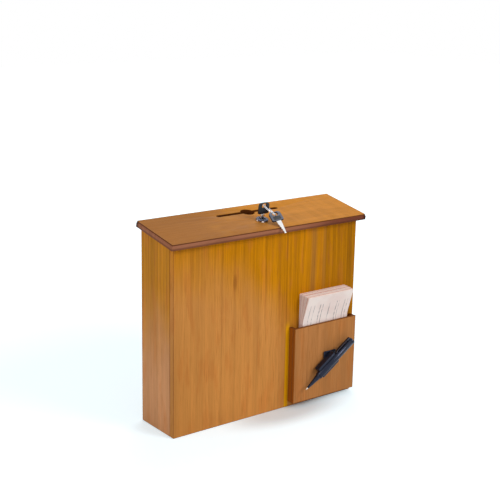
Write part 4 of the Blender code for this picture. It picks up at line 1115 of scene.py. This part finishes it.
def make_holder(black):
    """The cradle that grips the pen, turning on a rivet in the base plate."""
    cradle = block("pen_clamp", (-CRADLE_LOW_END, PEN_DEPTH - CRADLE_WRAP, -CRADLE_WIDTH / 2),
                   (CRADLE_HIGH_END, CRADLE_SEAT + CRADLE_BACK, CRADLE_WIDTH / 2))
    ease(cradle, CRADLE_EASE, 4)
    groove = rod("groove_cutter", PEN_RADIUS + GAP, -2 * CRADLE_LOW_END, 2 * CRADLE_LOW_END, 96)
    groove.data.transform(Matrix.Translation((0, PEN_DEPTH, 0)) @ ALONG_X)
    cut(cradle, groove)
    for radius, end in ((RIVET_RADIUS, 0.0), (RIVET_HEAD_RADIUS, CRADLE_SEAT + RIVET_HEAD + GAP)):
        hole = rod("rivet_cutter", radius + GAP, -end, -PEN_DEPTH)
        hole.data.transform(Matrix.Rotation(math.pi / 2, 4, 'X'))
        cut(cradle, hole)
    settle(cradle, HOLDER, "cradle", "holder_plastic", black, "pen_cradle", smooth=30)
    plate = refined("pen_holder_plate", "pen_holder_base", 0.0)
    settle(plate, IN_PLACE, "box", "holder_plastic", black, "pen_holder_base")


def make_pen_nose(black):
    """The long nose, bored for the point's spigot and the refill."""
    sides = [(radius * PEN_RADIUS, share * PEN_NOSE_LENGTH) for share, radius in PEN_NOSE_SHARES]
    outer = curved(sides, 6)[::-1]
    bore = PEN_SPIGOT_RADIUS + GAP
    inner = [(bore, PEN_NOSE_END), (bore, PEN_SPIGOT_TOP), (PEN_REFILL_BORE, PEN_SPIGOT_TOP),
             (PEN_REFILL_BORE, PEN_NOSE_LENGTH)]
    nose = turned("pen_cone", outer + inner + [outer[0]])
    settle(nose, PEN, "pen", "pen_plastic", black, "pen_nose", smooth=30)


def make_pen_barrel(black):
    low, high = PEN_NOSE_LENGTH + GAP, PEN_LENGTH - PEN_CAP_LENGTH - GAP
    barrel = [(PEN_BORE, low), (PEN_RADIUS - LIP, low), (PEN_RADIUS, low + LIP), (PEN_RADIUS, high - LIP),
              (PEN_RADIUS - LIP, high), (PEN_BORE, high), (PEN_BORE, low)]
    settle(turned("pen_tube", barrel), PEN, "pen", "pen_plastic", black, "pen_barrel", smooth=50)


def make_pen_cap(black):
    """The rounded end cap with its spigot in the barrel."""
    seat = PEN_LENGTH - PEN_CAP_LENGTH
    crown = PEN_CAP_LENGTH / 2
    spigot = PEN_BORE - GAP
    cap = [(0, PEN_LENGTH)] + fillet((PEN_RADIUS - crown, PEN_LENGTH - crown), crown, 90, 0)
    cap += [(PEN_RADIUS, seat), (spigot, seat), (spigot, seat - PEN_CAP_SPIGOT), (0, seat - PEN_CAP_SPIGOT)]
    settle(turned("pen_cap", cap), PEN, "pen", "pen_plastic", black, "pen_end_cap", smooth=50)


def make_pen_point(brass):
    """The ball, the point's cone and the spigot that holds it in the nose."""
    base, end = PEN_NOSE_END - GAP, PEN_SPIGOT_TOP - GAP
    tip = [(0, 0)] + fillet((0, PEN_BALL_RADIUS), PEN_BALL_RADIUS, -90, -10, 5)[1:] + list(PEN_POINT_STEPS)
    tip += [(PEN_POINT_RADIUS, base), (PEN_SPIGOT_RADIUS, base), (PEN_SPIGOT_RADIUS, end), (0, end)]
    settle(turned("pen_tip", tip, 40), PEN, "pen", "pen_metal", brass, "pen_point", smooth=30)


def make_pen_clip(black_metal):
    clip = refined("pen_pocket_clip", "pen_clip", PEN_CLIP_EASE, 3)
    settle(clip, IN_PLACE, "pen", "pen_metal", black_metal, "pen_clip")


# Room

def make_floor():
    """Pale paper that the box shades, lit a little from within where it is seen, and less so in a painted shadow.
    """
    floor = start(bpy.ops.mesh.primitive_plane_add, "floor", size=FLOOR_REACH, location=(0, 0, 0))
    paper = Finish("floor_paper", 1.0, specular=0.0)
    fibre = paper.noise(paper.x * 500, paper.y * 500, 0.0)
    paper.set("Base Color", paper.scale(FLOOR_WHITE, 0.99 + fibre * 0.02))
    paper.set("Emission Color", FLOOR_GLOW_COLOUR)
    away = paper.length(paper.x, paper.y)
    # Painted shadow: the glow is weakest inside an oval in front of the box
    from_painted_shadow = paper.length((paper.x - PAINTED_SHADOW_CENTRE[0]) / PAINTED_SHADOW_REACH[0],
                               (paper.y - PAINTED_SHADOW_CENTRE[1]) / PAINTED_SHADOW_REACH[1])
    glow = FLOOR_GLOW_IN_PAINTED_SHADOW + paper.smooth(from_painted_shadow, 0.3, 1.15) * (FLOOR_GLOW_NEAR - FLOOR_GLOW_IN_PAINTED_SHADOW)
    glow = glow + paper.smooth(away, 0.4, 1.2) * (FLOOR_GLOW_FAR - FLOOR_GLOW_NEAR)
    paper.set("Emission Strength", seen_directly(paper) * glow)
    paint(floor, paper.material)


def seen_directly(finish):
    """One where the camera sees a surface itself, in a mirror or through glass."""
    rays = ("Is Camera Ray", "Is Glossy Ray", "Is Transmission Ray")
    camera, glossy, through = (finish.node("LightPath", output=name) for name in rays)
    return camera.most(glossy).most(through)


class Sky(Finish):
    """The world's nodes, made with the same helpers as a material's."""

    def __init__(self):
        world = bpy.data.worlds.new("studio")
        bpy.context.scene.world = world
        world.use_nodes = True
        self.tree = world.node_tree
        self.shader = self.tree.nodes["Background"]


def make_world():
    sky = Sky()
    sky.set("Color", (1, 1, 1, 1))
    sky.set("Strength", WORLD_LEVEL + seen_directly(sky) * (1 - WORLD_LEVEL))


def make_lamp(name, place, aim, power):
    """A round soft lamp that shines from a place towards an aim."""
    light = bpy.data.lights.new(name, 'AREA')
    light.shape = 'DISK'
    light.size = LAMP_WIDTH
    light.energy = power
    place, aim = Vector(place), Vector(aim)
    turn = (place - aim).to_track_quat('Z', 'Y').to_matrix().to_4x4()
    added(name, light).matrix_world = Matrix.Translation(place) @ turn


def make_camera():
    """The photograph's viewing angle, rolled a little as the photograph is."""
    level = Matrix.Rotation(CAMERA_AZIMUTH, 4, 'Z') @ Matrix.Rotation(math.pi / 2 - CAMERA_ELEVATION, 4, 'X')
    turn = level @ Matrix.Rotation(CAMERA_ROLL, 4, 'Z')
    camera = bpy.data.cameras.new("photo_camera")
    camera.lens = FOCAL_PIXELS / FRAME_PIXELS * camera.sensor_width
    made = added("photo_camera", camera)
    made.matrix_world = Matrix.Translation(CAMERA_PLACE) @ turn
    bpy.context.scene.camera = made


def make_room():
    bpy.context.scene.view_settings.view_transform = 'Standard'
    make_camera()
    make_world()
    make_floor()
    for lamp in LAMPS:
        make_lamp(*lamp)


def make_box():
    make_body_wood()
    make_pocket_wood()
    make_lid()
    make_hardware(metal("plated_steel", (0.60, 0.60, 0.62), 0.34))
    make_lock(bezel_chrome(), metal("lock_plug_metal", (0.03, 0.03, 0.045), 0.30))


def make_loose_things():
    """Keys on their ring, cards, and the pen in its holder."""
    make_keys(metal("key_metal", (0.86, 0.86, 0.86), 0.22))
    make_ring(metal("ring_steel", (0.78, 0.78, 0.80), 0.34))
    make_cards()
    dress("pen_holder_pad", foam())
    make_holder(plastic("holder_plastic", colour(8, 8, 20), 0.34, BLUE_SHEEN))
    black = plastic("pen_plastic", colour(5, 5, 18), 0.20, BLUE_SHEEN)
    make_pen_nose(black)
    make_pen_barrel(black)
    make_pen_cap(black)
    make_pen_point(metal("pen_metal", (0.74, 0.68, 0.58), 0.3))
    make_pen_clip(metal("clip_metal", (0.06, 0.062, 0.085), 0.25))
    dress("pen_refill", plastic("refill_plastic", colour(205, 208, 212), 0.35))


make_room()
make_box()
make_loose_things()
